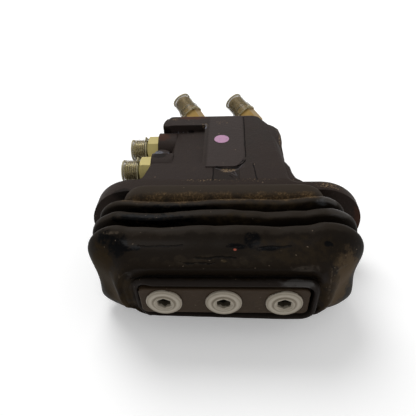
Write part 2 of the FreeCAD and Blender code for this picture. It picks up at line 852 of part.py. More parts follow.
def pivot():
    radius = D.pin_diameter / 2
    half_length = LUG_OUTER + D.pin_overhang
    groove = radius - D.clip_groove_depth
    clip_low = LUG_OUTER + D.side_play
    clip_high = clip_low + D.clip_thickness + D.side_play
    edge = D.pin_chamfer
    profile = [(0, -half_length), (radius - edge, -half_length), (radius, -half_length + edge)]
    profile += [(radius, -clip_high), (groove, -clip_high), (groove, -clip_low), (radius, -clip_low)]
    profile += [(radius, clip_low), (groove, clip_low), (groove, clip_high), (radius, clip_high)]
    profile += [(radius, half_length - edge), (radius - edge, half_length), (0, half_length)]
    turned("pivot_pin", profile, (0, PIVOT, 0), UPRIGHT)

    bush_bore = radius + D.running_clearance
    bush_outer = bush_bore + D.bush_wall
    flange = D.bush_flange_diameter / 2
    hub_face = D.arm_height / 2
    start = D.side_play
    for name, side in (("upper", 1), ("lower", -1)):
        rotation = UPRIGHT if side > 0 else FreeCAD.Rotation(X_AXIS, 180)
        turned("pivot_bush_" + name, [
            (bush_bore, start),
            (bush_outer, start),
            (bush_outer, hub_face),
            (flange, hub_face),
            (flange, hub_face + D.bush_flange),
            (bush_bore, hub_face + D.bush_flange),
        ], (0, PIVOT, 0), rotation)
        clip = new_body("pivot_clip_" + name, (0, PIVOT, side * (clip_low + D.side_play / 2)), rotation)
        shape = new_sketch(clip, "clip_outline_" + name, "XY_Plane")
        circle(shape, (0, 0), D.clip_diameter / 2)
        circle(shape, (0, 0), groove + D.running_clearance)
        pad(clip, shape, D.clip_thickness)
        mouth = new_sketch(clip, "clip_mouth_" + name, "XY_Plane")
        rectangle(mouth, (-D.clip_opening / 2, 0), (D.clip_opening / 2, D.clip_diameter))
        pocket(clip, mouth, D.clip_thickness, reverse=True)


def pedal_rocker():
    """The pedal bar with its arms, hub and tapped holes, as one casting."""
    body = new_body("pedal_rocker")
    face = -D.bar_face_distance
    bar_back = face + D.bar_thickness
    bar = new_sketch(body, "bar_outline", "XZ_Plane", -bar_back)
    round_rectangle(bar, D.bar_span, D.bar_height, D.bar_corner)
    pad(body, bar, D.bar_thickness)

    arm_foot = FOOT - D.foot_gap
    arm = D.arm_span / 2
    low = -D.arm_height / 2
    arms = new_sketch(body, "arm_outline", "XY_Plane", low)
    hub = D.hub_radius
    outline(arms, [
        (-arm, bar_back - D.join_overlap),
        (arm, bar_back - D.join_overlap),
        (arm, arm_foot),
        (hub, arm_foot),
        (hub, PIVOT),
        (-hub, PIVOT),
        (-hub, arm_foot),
        (-arm, arm_foot),
    ], {4: (hub, (0, PIVOT))})
    pad(body, arms, D.arm_height)

    bush_outer = D.pin_diameter / 2 + D.running_clearance * 2 + D.bush_wall
    eye = new_sketch(body, "hub_bore", "XY_Plane", low)
    circle(eye, (0, PIVOT), bush_outer)
    pocket(body, eye, D.arm_height, reverse=True)

    softened(body, "Fillet", D.bar_edge_round,
             lambda edge: near(edge.BoundBox.YMax, face) and near(edge.BoundBox.YMin, face))

    holes = new_sketch(body, "tapped_holes", "XZ_Plane", -face)
    for place_x in TAPPED_PLACES:
        circle(holes, (place_x, 0), D.tapped_diameter / 2)
    pocket(body, holes, D.tapped_depth)


TAPPED_PLACES = (-D.tapped_spacing, as_size(0), D.tapped_spacing)


def hole_plugs():
    face = -D.bar_face_distance
    shank = D.tapped_diameter / 2 - D.thread_clearance
    flange = D.plug_flange / 2
    edge = D.plug_flange_round
    thickness = D.plug_flange_thickness
    ring_outer = D.plug_ring / 2
    dish = D.plug_dish / 2
    crest = thickness + D.plug_ring_height
    floor = crest - D.plug_dish_depth
    for name, x in zip(("left", "centre", "right"), TAPPED_PLACES):
        body = turned("hole_plug_" + name, [
            (0, -D.plug_length),
            (shank - D.plug_chamfer, -D.plug_length),
            (shank, -D.plug_length + D.plug_chamfer),
            (shank, 0),
            (flange, 0),
            (flange, thickness - edge),
            (flange - edge, thickness),
            (ring_outer, thickness),
            (ring_outer - D.plug_ring_slope, crest),
            (dish, crest),
            (dish - D.plug_ring_slope, floor),
            (0, floor),
        ], (x, face, 0), TO_PEDAL)
        hex_pocket(body, "plug_socket_" + name, D.plug_socket, crest, D.plug_socket_depth)


def plungers():
    for name, side in SIDES:
        x = side * CARTRIDGE
        radius = D.plunger_diameter / 2
        dome = D.foot_offset
        nose = D.plunger_nose / 2
        rim = root(dome * dome - radius * radius)
        bottom = PIVOT - SEAT_TOP
        turned("plunger_" + name, [
            (0, bottom - D.seat_thickness),
            (nose, bottom - D.seat_thickness),
            (nose, bottom),
            (radius, bottom),
            (radius, rim),
            (0, dome),
        ], (x, PIVOT, 0), TO_PEDAL, {4: (dome, (0, 0))})
        seat = D.seat_diameter / 2
        spigot = D.seat_spigot / 2
        hole = nose + D.running_clearance
        under = -D.seat_thickness
        turned("spring_seat_" + name, [
            (hole, 0),
            (hole, under - D.seat_spigot_length),
            (spigot, under - D.seat_spigot_length),
            (spigot, under),
            (seat, under),
            (seat, 0),
        ], (x, SEAT_TOP, 0), TO_PEDAL)


def spools():
    for name, side in SIDES:
        x = side * CARTRIDGE
        radius = D.spool_diameter / 2
        head = D.spool_head_diameter / 2
        spigot = D.spool_spigot / 2
        neck = D.spool_neck_diameter / 2
        drilling = D.spool_drilling / 2
        top = D.spool_head_distance
        under = top + D.spool_head_thickness
        neck_start = PRESSURE_PORT - D.spool_neck_lead
        neck_end = neck_start + D.spool_neck_length
        turned("spool_" + name, [
            (0, neck_start),
            (0, top - D.spool_spigot_length),
            (spigot, top - D.spool_spigot_length),
            (spigot, top),
            (head, top),
            (head, under),
            (radius, under),
            (radius, neck_start),
            (neck, neck_start),
            (neck, neck_end),
            (radius, neck_end),
            (radius, SPOOL_BORE_END),
            (drilling, SPOOL_BORE_END),
            (drilling, neck_start),
        ], (x, 0, 0), TO_FAR_END)


def coil(label, x, mean_diameter, wire, turns, low, high):
    """A spring between two seats: hexagons of wire in planes through the axis, joined straight."""
    steps = 10
    first = as_size(low + D.spring_seating + wire / 2).number
    last = as_size(high - D.spring_seating - wire / 2).number
    count = int(round(turns.number * steps))
    sections = []
    for i in range(count + 1):
        angle = 2 * math.pi * i / steps
        height = first + (last - first) * i / count
        points = []
        for k in range(6):
            corner = math.radians(60 * k)
            radius = mean_diameter.number / 2 + wire.number / 2 * math.cos(corner)
            points.append(FreeCAD.Vector(
                radius * math.cos(angle), radius * math.sin(angle), height + wire.number / 2 * math.sin(corner)))
        sections.append(Part.makePolygon(points + points[:1]))
    spring = doc.addObject("Part::Feature", label)
    spring.Label = label
    spring.Shape = Part.makeLoft(sections, True, True)
    place(spring, (x, 0, 0), TO_FAR_END)
    SUBPARTS.append(spring)


def springs():
    for name, side in SIDES:
        x = side * CARTRIDGE
        coil("return_spring_" + name, x, D.return_spring_diameter, D.return_spring_wire,
             D.return_spring_turns, SEAT_BOTTOM, D.spring_chamber_end)
        coil("metering_spring_" + name, x, D.metering_spring_diameter, D.metering_spring_wire,
             D.metering_spring_turns, SEAT_BOTTOM, D.spool_head_distance)


def hex_bevel(body, name, across_flats, low, high):
    """Turn the corners off both ends of a hexagon."""
    flat = across_flats / 2
    outside = across_flats / math.sqrt(2)
    for end, level, sign in (("low", low, 1), ("high", high, -1)):
        sketch = new_sketch(body, "%s_%s_bevel" % (name, end), "XZ_Plane")
        rise = (outside - flat) * D.hex_bevel_slope * sign
        outline(sketch, [(flat, level), (outside, level), (outside, level + rise)])
        doc.recompute()
        revolved(body, sketch, "Groove")


def stud_profile():
    """The part of a fitting that is screwed into a port, up to its undercut, and the undercut's radius."""
    groove = THREAD_RADIUS - D.stud_undercut
    return [
        (D.fitting_bore / 2, -D.stud_length),
        (THREAD_RADIUS - D.stud_chamfer, -D.stud_length),
        (THREAD_RADIUS, -D.stud_length + D.stud_chamfer),
        (THREAD_RADIUS, -D.port_recess_depth),
        (groove, -D.port_recess_depth),
    ], groove


def union_length(cap_length):
    """A union's thread and nose end just short of the end wall of the cap on it."""
    return D.cap_setback + cap_length - D.cap_wall - D.cap_end_gap


def port_seal(label, groove, base, rotation):
    """Seal ring in the port's recess, round the undercut of the stud."""
    wire = D.seal_wire / 2
    ring(label, groove + wire + D.seal_clearance, wire, base, rotation)


def clear_cap(label, length, base, rotation):
    """Thread protector: a cup with a rim at its open end. Its own origin is at the rim's edge."""
    inner = D.port_thread / 2 + D.cap_fit
    outer = inner + D.cap_wall
    rim = outer + D.cap_rim_height
    return turned(label, [
        (inner, 0),
        (rim, 0),
        (rim, D.cap_rim),
        (outer, D.cap_rim),
        (outer, length - D.cap_corner),
        (outer - D.cap_corner, length),
        (0, length),
        (0, length - D.cap_wall),
        (inner, length - D.cap_wall),
    ], base, rotation)


def side_fittings():
    for name, length, face, _ in SIDE_PORTS:
        base = (-face, length, D.side_port_height)
        stud, groove = stud_profile()
        tip = D.hex_length + union_length(D.side_cap_length)
        half_hex = D.hex_length / 2
        body = turned(name + "_adapter", stud + [
            (groove, D.fitting_seat_gap),
            (THREAD_RADIUS, half_hex),
            (THREAD_RADIUS, tip - D.union_nose_length),
            (D.union_nose_diameter / 2, tip),
            (D.fitting_bore / 2, tip),
        ], base, TO_LEFT)
        hexagonal = new_sketch(body, name + "_hexagon", "XY_Plane")
        hexagon(hexagonal, D.hex_across_flats)
        circle(hexagonal, (0, 0), D.fitting_bore / 2)
        pad(body, hexagonal, D.hex_length)
        hex_bevel(body, name, D.hex_across_flats, 0, D.hex_length)
        port_seal(name + "_seal", groove, (-face + D.port_recess_depth / 2, length, D.side_port_height), TO_LEFT)
        cap_place = -face - D.hex_length - D.cap_setback
        clear_cap(name + "_cap", D.side_cap_length, (cap_place, length, D.side_port_height), TO_LEFT)


def elbows():
    for name, side in SIDES:
        x = side * CARTRIDGE
        port = (x, D.body_length, 0)
        turn = D.elbow_turn_angle_left if side < 0 else D.elbow_turn_angle_right
        stud, groove = stud_profile()

        # The elbow is modelled with its outlet leaning towards +Z and then turned in its port
        body = new_body("elbow_" + name, port)
        body.Placement = FreeCAD.Placement(FreeCAD.Vector(0, 0, 0), FreeCAD.Rotation(-Y_AXIS, turn.number))
        bind(body, "Placement.Rotation.Angle", turn)
        for axis, value in zip("xyz", port):
            bind(body, "Placement.Base." + axis, value)
        stem = new_sketch(body, name + "_stem", "YZ_Plane")
        outline(stem, [(along_y, radius) for radius, along_y in stud] + [
            (D.fitting_seat_gap, groove),
            (D.fitting_seat_gap, THREAD_RADIUS),
            (D.elbow_shank + D.join_overlap, THREAD_RADIUS),
            (D.elbow_shank + D.join_overlap, D.fitting_bore / 2),
        ])
        revolved(body, stem, axis="H_Axis")
        forging(body, name)
        elbow_union(body, name)

        port_seal("elbow_seal_" + name, groove, (x, D.body_length - D.port_recess_depth / 2, 0), TO_FAR_END)
        washer_inner = THREAD_RADIUS + D.cap_fit
        turned("elbow_washer_" + name, [
            (washer_inner, D.fitting_seat_gap),
            (D.washer_diameter / 2, D.fitting_seat_gap),
            (D.washer_diameter / 2, D.washer_thickness),
            (washer_inner, D.washer_thickness),
        ], port, TO_FAR_END)
        locknut(name, (x, D.body_length + D.washer_thickness, 0))


LEAN = math.radians(D.elbow_angle.number)
ALONG_OUTLET = (math.cos(LEAN), math.sin(LEAN))


def on_outlet(distance):
    """A point of the elbow's own YZ plane, at a distance along the outlet from the bend."""
    return (D.elbow_reach + distance * ALONG_OUTLET[0], distance * ALONG_OUTLET[1])


def path_sketch(body, name, points):
    """An open run of straight lines."""
    sketch = new_sketch(body, name, "YZ_Plane")
    places = [FreeCAD.Vector(as_size(x).number, as_size(y).number, 0) for x, y in points]
    for i in range(len(places) - 1):
        sketch.addGeometry(Part.LineSegment(places[i], places[i + 1]), False)
        if i:
            sketch.addConstraint(Sketcher.Constraint("Coincident", i - 1, 2, i, 1))
        pin_point(sketch, i, 1, points[i])
    pin_point(sketch, len(places) - 2, 2, points[-1])
    return sketch


def swept(body, kind, section, path, name):
    """A sketch swept along a path with a mitred bend."""
    doc.recompute()
    feature = body.newObject("PartDesign::" + kind, name)
    feature.Profile = section
    feature.Spine = (path, ["Edge%d" % (i + 1) for i in range(path.GeometryCount)])
    feature.Transition = "Right corner"
    doc.recompute()


def forging(body, name):
    """The hexagonal forging with its 45 degree bend."""
    section = new_sketch(body, name + "_forging_section", "XZ_Plane", -D.elbow_shank)
    hexagon(section, D.elbow_flats)
    path = path_sketch(body, name + "_forging_path", [(D.elbow_shank, 0), on_outlet(0), on_outlet(D.elbow_leg)])
    swept(body, "AdditivePipe", section, path, name + "_forging")


def elbow_union(body, name):
    """Thread and cone nose on the outlet, and the bore through the whole elbow."""
    tip = D.elbow_leg + union_length(D.cap_length)
    start = D.elbow_leg - D.join_overlap
    profile = [
        (start, 0),
        (start, THREAD_RADIUS),
        (tip - D.union_nose_length, THREAD_RADIUS),
        (tip, D.union_nose_diameter / 2),
        (tip, 0),
    ]
    along_x, along_z = ALONG_OUTLET
    corners = []
    for distance, radius in profile:
        base = on_outlet(distance)
        corners.append((base[0] - radius * along_z, base[1] + radius * along_x))
    thread = new_sketch(body, name + "_union_profile", "YZ_Plane")
    outline(thread, corners)
    ends = [on_outlet(start), on_outlet(tip)]
    low, high = [FreeCAD.Vector(x.number, y.number, 0) for x, y in ends]
    line = thread.addGeometry(Part.LineSegment(low, high), True)
    pin_point(thread, line, 1, ends[0])
    pin_point(thread, line, 2, ends[1])
    revolved(body, thread, axis="Axis0")

    bore = new_sketch(body, name + "_bore_section", "XZ_Plane", D.stud_length)
    circle(bore, (0, 0), D.fitting_bore / 2)
    path = path_sketch(body, name + "_bore_path", [(-D.stud_length, 0), on_outlet(0), on_outlet(tip)])
    swept(body, "SubtractivePipe", bore, path, name + "_bore")


def locknut(name, base):
    body = new_body("elbow_locknut_" + name, base, TO_FAR_END)
    sketch = new_sketch(body, name + "_nut_outline", "XY_Plane")
    hexagon(sketch, D.hex_across_flats)
    circle(sketch, (0, 0), D.port_thread / 2 + D.thread_clearance)
    pad(body, sketch, D.locknut_length)
    hex_bevel(body, name + "_nut", D.hex_across_flats, 0, D.locknut_length)


def elbow_caps():
    """Each cap sits on its elbow's outlet, so its place follows the elbow's turn."""
    for name, side in SIDES:
        turn = D.elbow_turn_angle_left if side < 0 else D.elbow_turn_angle_right
        lean = math.radians(D.elbow_angle.number)
        swing = math.radians(turn.number)
        reach = (D.elbow_leg + D.cap_setback).number
        base = (
            side * CARTRIDGE - reach * math.sin(lean) * math.sin(swing),
            D.body_length + D.elbow_reach + reach * math.cos(lean),
            reach * math.sin(lean) * math.cos(swing),
        )
        outlet = FreeCAD.Rotation(Y_AXIS, -turn.number).multiply(
            FreeCAD.Rotation(X_AXIS, -90 + D.elbow_angle.number))
        clear_cap("elbow_cap_" + name, D.cap_length, base, outlet)


def boot_sections():
    """Outer sections of the boot from the collar to the bead: place, span, height, corner and rise."""
    drop_x = D.fold_valley_depth * 2
    drop_z = D.fold_valley_height * 2
    folds = (
        (D.first_fold_distance, D.first_fold_span, D.first_fold_height, D.first_fold_width),
        (D.second_fold_distance, D.second_fold_span, D.second_fold_height, D.sharp_fold_width),
        (D.third_fold_distance, D.third_fold_span, D.third_fold_height, D.sharp_fold_width),
    )
    collar = D.boot_opening_corner + (D.boot_collar_height - D.boot_opening_height) / 2
    sections = [
        (D.boot_collar_distance, D.boot_collar_span, D.boot_collar_height, collar, D.boot_collar_rise),
        (D.boot_crevice_distance, D.boot_collar_span, D.boot_collar_height, collar, D.boot_collar_rise),
        (D.boot_ridge_distance, D.boot_ridge_span, D.boot_ridge_height, D.boot_ridge_corner, D.boot_ridge_rise),
        (D.boot_shoulder_distance, D.boot_shoulder_span, D.boot_shoulder_height, D.boot_shoulder_corner,
         D.boot_shoulder_rise),
    ]
    inner_corner = D.fold_corner - D.boot_wall
    for number, (middle, span, height, width) in enumerate(folds):
        sections.append((middle + width / 2, span, height, D.fold_corner, 0))
        sections.append((middle - width / 2, span, height, D.fold_corner, 0))
        if number < 2:
            following = folds[number + 1][0]
            valley = (middle - width / 2 + following + D.sharp_fold_width / 2) / 2
            sections.append((valley, span - drop_x, height - drop_z, inner_corner, 0))
    bead = (D.boot_bead_span, D.boot_bead_height, D.fold_corner, 0)
    sections.append((D.boot_bead_start + D.boot_bead_step, D.boot_bead_span, D.boot_valley_height, inner_corner, 0))
    sections.append((D.boot_bead_start, *bead))
    sections.append((D.flange_thickness + D.boot_seat_gap, *bead))
    return sections


def loft(body, kind, name, sections):
    """A ruled loft through rounded rectangles square to Y."""
    sketches = []
    for number, (distance, *section) in enumerate(sections):
        sketch = new_sketch(body, "%s_%d" % (name, number), "XZ_Plane", distance)
        round_rectangle(sketch, *section)
        sketches.append(sketch)
    doc.recompute()
    before = body.Shape.Volume if body.Tip and kind == "SubtractiveLoft" else 0.0
    feature = body.newObject("PartDesign::" + kind, name)
    feature.Profile = sketches[0]
    feature.Sections = sketches[1:]
    feature.Ruled = True
    doc.recompute()
    if kind == "SubtractiveLoft" and body.Shape.Volume > before - LEAST_CUT:
        raise RuntimeError("the hollow %s removes nothing" % name)


def rubber_boot():
    body = new_body("rubber_boot")
    outer = boot_sections()
    loft(body, "AdditiveLoft", "boot_outside", outer)

    # The hollow follows the outside from behind the lip to the cover plate
    wall = D.boot_wall * 2
    bar_back = D.bar_face_distance - D.bar_thickness - D.boot_seat_gap
    lip_back = bar_back - D.boot_lip_thickness
    inner = [(lip_back, D.boot_hollow_span, D.boot_hollow_height, D.fold_corner - wall, 0)]
    for distance, span, height, corner, rise in outer[4:-3]:
        inner.append((distance, span - wall, height - wall, corner - D.boot_wall, rise))
    fit = D.boot_seat_gap * 2
    plate = (D.cover_span + fit, D.cover_height + fit, D.cover_corner, 0)
    inner.append((D.boot_bead_start + D.boot_bead_step, *plate))
    inner.append((D.flange_thickness + D.boot_seat_gap, *plate))
    loft(body, "SubtractiveLoft", "boot_hollow", inner)

    opening = new_sketch(body, "bar_opening", "XZ_Plane", D.boot_collar_distance)
    round_rectangle(opening, D.boot_opening_span, D.boot_opening_height, D.boot_opening_corner)
    pocket(body, opening, D.boot_collar_distance - bar_back)
    lip = new_sketch(body, "lip_opening", "XZ_Plane", bar_back)
    round_rectangle(lip, D.boot_lip_span, D.boot_lip_height, D.boot_opening_corner)
    pocket(body, lip, D.boot_lip_thickness * 2)


def check_and_write():
    """Every object must be sound before any file is written."""
    doc.recompute()
    for piece in doc.Objects:
        for state in piece.State:
            if "Invalid" in state or "Error" in state:
                raise RuntimeError("%s is %s" % (piece.Label, state))
    labels = [piece.Label for piece in SUBPARTS]
    if len(set(labels)) != len(labels):
        raise RuntimeError("two sub-parts share a name")
    for piece in SUBPARTS:
        if piece.Shape.isNull() or not piece.Shape.isValid():
            raise RuntimeError("the shape of %s is not sound" % piece.Label)
    os.makedirs("parts", exist_ok=True)
    for piece in SUBPARTS:
        piece.Shape.exportStep(os.path.join("parts", piece.Label + ".step"))
    print("%d sub-parts written" % len(SUBPARTS))


valve_housing()
cover_plate()
cover_screws()
guides_and_seals()
pivot()
pedal_rocker()
hole_plugs()
plungers()
spools()
springs()
side_fittings()
elbows()
elbow_caps()
rubber_boot()
check_and_write()
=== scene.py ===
import json
import math

import bpy
from mathutils import Matrix, Vector


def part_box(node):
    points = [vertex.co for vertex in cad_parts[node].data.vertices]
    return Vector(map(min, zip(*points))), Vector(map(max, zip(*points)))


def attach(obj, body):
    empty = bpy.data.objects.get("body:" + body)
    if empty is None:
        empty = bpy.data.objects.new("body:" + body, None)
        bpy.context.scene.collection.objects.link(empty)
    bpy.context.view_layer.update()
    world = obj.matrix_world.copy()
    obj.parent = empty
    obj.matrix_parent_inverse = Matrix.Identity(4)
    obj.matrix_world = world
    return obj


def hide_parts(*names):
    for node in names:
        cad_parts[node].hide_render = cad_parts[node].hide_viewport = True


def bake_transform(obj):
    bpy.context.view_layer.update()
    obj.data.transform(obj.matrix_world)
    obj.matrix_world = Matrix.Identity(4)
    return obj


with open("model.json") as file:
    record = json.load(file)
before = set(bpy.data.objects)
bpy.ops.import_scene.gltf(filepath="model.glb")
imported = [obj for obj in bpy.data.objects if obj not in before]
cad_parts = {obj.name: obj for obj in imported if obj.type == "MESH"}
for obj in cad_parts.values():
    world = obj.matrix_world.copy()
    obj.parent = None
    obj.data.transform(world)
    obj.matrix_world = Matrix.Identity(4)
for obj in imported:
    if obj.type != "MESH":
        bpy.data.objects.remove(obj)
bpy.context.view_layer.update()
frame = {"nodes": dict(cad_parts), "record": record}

MM = 0.001

# Camera, from the photograph
CAMERA_PLACE = Vector((4.0, -191.1, 169.0)) * MM
CAMERA_PITCH = math.radians(40.77)
CAMERA_YAW = math.radians(-4.44)
CAMERA_ROLL = math.radians(-3.2)
CAMERA_LENS = 33.78

# The part rests on its largest boot fold and on the far bottom edge of the body
FOLD_REST = Vector((0, -47.0, -34.5)) * MM
BODY_REST = Vector((0, 84.0, -27.0)) * MM

NODES = frame["nodes"]
MOUNTS = {mount["name"]: mount for mount in frame["record"]["mounts"]}


# Modelling helpers

def deselect():
    if bpy.context.object and bpy.context.object.mode != "OBJECT":
        bpy.ops.object.mode_set(mode="OBJECT")
    bpy.ops.object.select_all(action="DESELECT")


def only(piece):
    """Select one piece alone and make it the active one."""
    deselect()
    piece.select_set(True)
    bpy.context.view_layer.objects.active = piece


def started(name, primitive, **settings):
    """Add a primitive by its operator, with nothing else selected, and name it."""
    deselect()
    primitive(**settings)
    piece = bpy.context.object
    piece.name = name
    piece.data.name = name
    return piece


def edit_all():
    """Go into edit mode with the whole mesh selected."""
    bpy.ops.object.mode_set(mode="EDIT")
    bpy.ops.mesh.select_all(action="SELECT")


def choose_faces(piece, wanted):
    """Select the faces whose normal passes a test, in edit mode."""
    bpy.ops.object.mode_set(mode="EDIT")
    bpy.ops.mesh.select_mode(type="FACE")
    bpy.ops.mesh.select_all(action="DESELECT")
    bpy.ops.object.mode_set(mode="OBJECT")
    for face in piece.data.polygons:
        face.select = wanted(face.normal)
    bpy.ops.object.mode_set(mode="EDIT")


def modified(piece, kind, **settings):
    """Add a modifier and apply it."""
    only(piece)
    modifier = piece.modifiers.new(kind.lower(), kind)
    for key, value in settings.items():
        setattr(modifier, key, value)
    bpy.ops.object.modifier_apply(modifier=modifier.name)


def finished(piece, body, material, angle):
    """Settle the place in the mesh, smooth it, dress it and let it ride."""
    only(piece)
    bpy.ops.object.transform_apply(location=True, rotation=True, scale=True)
    edit_all()
    bpy.ops.mesh.normals_make_consistent(inside=False)
    bpy.ops.object.mode_set(mode="OBJECT")
    bpy.ops.object.shade_smooth_by_angle(angle=math.radians(angle))
    piece.data.materials.clear()
    piece.data.materials.append(material)
    if body:
        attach(piece, body)


# Shader nodes

def add(tree, kind, **settings):
    made = tree.nodes.new(kind)
    for key, value in settings.items():
        setattr(made, key, value)
    return made


def feed(tree, socket, value):
    """Link an output to a socket, or give the socket a constant."""
    if isinstance(value, bpy.types.NodeSocket):
        tree.links.new(value, socket)
    else:
        socket.default_value = value


def number(tree, operation, first, second=None, clamp=False):
    """A node that works with numbers."""
    made = add(tree, "ShaderNodeMath", operation=operation, use_clamp=clamp)
    feed(tree, made.inputs[0], first)
    if second is not None:
        feed(tree, made.inputs[1], second)
    return made.outputs[0]


def inverse(tree, value):
    return number(tree, "SUBTRACT", 1.0, value)


def vector(tree, operation, *values):
    """A node that works with vectors. A length and a dot product give a number."""
    made = add(tree, "ShaderNodeVectorMath", operation=operation)
    sockets = (made.inputs[0], made.inputs["Scale"]) if operation == "SCALE" else made.inputs
    for socket, value in zip(sockets, values):
        feed(tree, socket, value)
    return made.outputs["Value" if operation in ("LENGTH", "DOT_PRODUCT") else "Vector"]


def axes(tree, value):
    """The X, Y and Z of a vector."""
    made = add(tree, "ShaderNodeSeparateXYZ")
    tree.links.new(value, made.inputs[0])
    return made.outputs


def object_place(tree):
    return add(tree, "ShaderNodeTexCoord").outputs["Object"]


def face_normal(tree):
    return add(tree, "ShaderNodeNewGeometry").outputs["Normal"]


def noise(tree, place, scale, detail, roughness, output="Fac"):
    made = add(tree, "ShaderNodeTexNoise")
    for name, value in (("Vector", place), ("Scale", scale), ("Detail", detail), ("Roughness", roughness)):
        feed(tree, made.inputs[name], value)
    return made.outputs[output]


def fade(tree, value, low, high):
    """0 below low, 1 above high, smooth between."""
    made = add(tree, "ShaderNodeMapRange", interpolation_type="SMOOTHSTEP")
    for name, given in (("Value", value), ("From Min", low), ("From Max", high)):
        feed(tree, made.inputs[name], given)
    return made.outputs["Result"]


# How far out a mark keeps its full strength: a line and a zone as a share of their size, a speck in cells
LINE_CORE = 0.4
ZONE_CORE = 0.55
SPECK_CORE = 0.02

# Noise that bends the edges of marks: its scale, and how far it bends them, in metres or in sizes of a zone
SPECK_WOBBLE = 900.0
SPECK_BEND = 0.0012
ZONE_WOBBLE = 260.0
ZONE_BEND = 4.0
BAND_WOBBLE = 180.0
BAND_BEND = 0.006
STROKE_WOBBLE = 160.0

# Softness of the edges of settled dust and of scratches
SETTLED_EDGE = 0.22
SCRATCH_EDGE = 0.05

# Scale of the broad grain beside the fine one's
BROAD_SCALE = 0.12


def line(tree, away, width):
    """1 along the middle of a line and 0 outside its width."""
    return inverse(tree, fade(tree, away, number(tree, "MULTIPLY", width, LINE_CORE), width))


def covered(tree, value, cover, edge):
    """1 where a noise rises above 1 less the cover, with a soft edge."""
    low = inverse(tree, cover)
    return fade(tree, value, low, number(tree, "ADD", low, edge))


def unevenness(tree, place, scale):
    """Noise about zero."""
    return number(tree, "SUBTRACT", noise(tree, place, scale, detail=5.0, roughness=0.6), 0.5)


# Shader node groups, whose lengths are in metres

def new_group(name, output="Mask", **inputs):
    """An empty group with one output, and an input for each given default."""
    tree = bpy.data.node_groups.new(name, "ShaderNodeTree")
    for label, value in inputs.items():
        kind = "NodeSocketVector" if isinstance(value, tuple) else "NodeSocketFloat"
        socket = tree.interface.new_socket(name=label, in_out="INPUT", socket_type=kind)
        socket.default_value = value
    tree.interface.new_socket(name=output, in_out="OUTPUT", socket_type="NodeSocketFloat")
    given = add(tree, "NodeGroupInput").outputs
    result = add(tree, "NodeGroupOutput").inputs[output]
    return tree, given, result


def patches_group():
    """Uneven patches with ragged edges: paint tone, dust, rubbed places."""
    tree, given, result = new_group("patches", Scale=60.0, Cover=0.5, Edge=0.1, Seed=0.0)
    place = vector(tree, "ADD", object_place(tree), given["Seed"])
    value = noise(tree, place, given["Scale"], detail=6.0, roughness=0.62)
    tree.links.new(covered(tree, value, given["Cover"], given["Edge"]), result)
    return tree


def specks_group():
    """Small separate grains and nicks, each as large as its reach within its cell."""
    tree, given, result = new_group("specks", Scale=300.0, Reach=0.2, Share=0.3)
    place = object_place(tree)
    wobble = noise(tree, place, SPECK_WOBBLE, detail=2.0, roughness=0.5, output="Color")
    cells = add(tree, "ShaderNodeTexVoronoi")
    bent = vector(tree, "MULTIPLY_ADD", wobble, (SPECK_BEND, SPECK_BEND, SPECK_BEND), place)
    tree.links.new(bent, cells.inputs["Vector"])
    tree.links.new(given["Scale"], cells.inputs["Scale"])
    near = inverse(tree, fade(tree, cells.outputs["Distance"], SPECK_CORE, given["Reach"]))
    pick = add(tree, "ShaderNodeSeparateColor")
    tree.links.new(cells.outputs["Color"], pick.inputs[0])
    kept = number(tree, "LESS_THAN", pick.outputs[0], given["Share"])
    tree.links.new(number(tree, "MULTIPLY", near, kept), result)
    return tree


def zone_group():
    """A place on the part: 1 at its centre, fading out to its size with a ragged edge."""
    tree, given, result = new_group("zone", Centre=(0, 0, 0), Size=(0.01, 0.01, 0.01), Ragged=0.3)
    place = object_place(tree)
    offset = vector(tree, "SUBTRACT", place, given["Centre"])
    distance = vector(tree, "LENGTH", vector(tree, "DIVIDE", offset, given["Size"]))
    bend = number(tree, "MULTIPLY", unevenness(tree, place, ZONE_WOBBLE), given["Ragged"])
    distance = number(tree, "ADD", distance, number(tree, "MULTIPLY", bend, ZONE_BEND))
    tree.links.new(inverse(tree, fade(tree, distance, ZONE_CORE, 1.0)), result)
    return tree


def band_group():
    """A band square to Y between two places, with soft ends."""
    tree, given, result = new_group("band", Start=0.0, End=0.01, Soft=0.002)
    place = object_place(tree)
    bend = number(tree, "MULTIPLY", unevenness(tree, place, BAND_WOBBLE), BAND_BEND)
    along = number(tree, "ADD", axes(tree, place)["Y"], bend)
    start = fade(tree, along, given["Start"], number(tree, "ADD", given["Start"], given["Soft"]))
    end = fade(tree, along, number(tree, "SUBTRACT", given["End"], given["Soft"]), given["End"])
    tree.links.new(number(tree, "SUBTRACT", start, end, clamp=True), result)
    return tree


def settled_dust_and_highlight_group():
    """Faces that look up, broken by patches: where dust settles, and on the boot's crests also a painted
    highlight.
    """
    tree, given, result = new_group("settled_dust_and_highlight", Scale=90.0, Cover=0.5, Steepness=0.4)
    up = fade(tree, axes(tree, face_normal(tree))["Z"], given["Steepness"], 1.0)
    value = noise(tree, object_place(tree), given["Scale"], detail=8.0, roughness=0.68)
    patch = covered(tree, value, given["Cover"], SETTLED_EDGE)
    tree.links.new(number(tree, "MULTIPLY", up, patch), result)
    return tree


def shaded_group():
    """Faces that look down, where painted shade goes."""
    tree, given, result = new_group("shaded", Low=-0.2, High=0.6)
    up = fade(tree, axes(tree, face_normal(tree))["Z"], given["Low"], given["High"])
    tree.links.new(inverse(tree, up), result)
    return tree


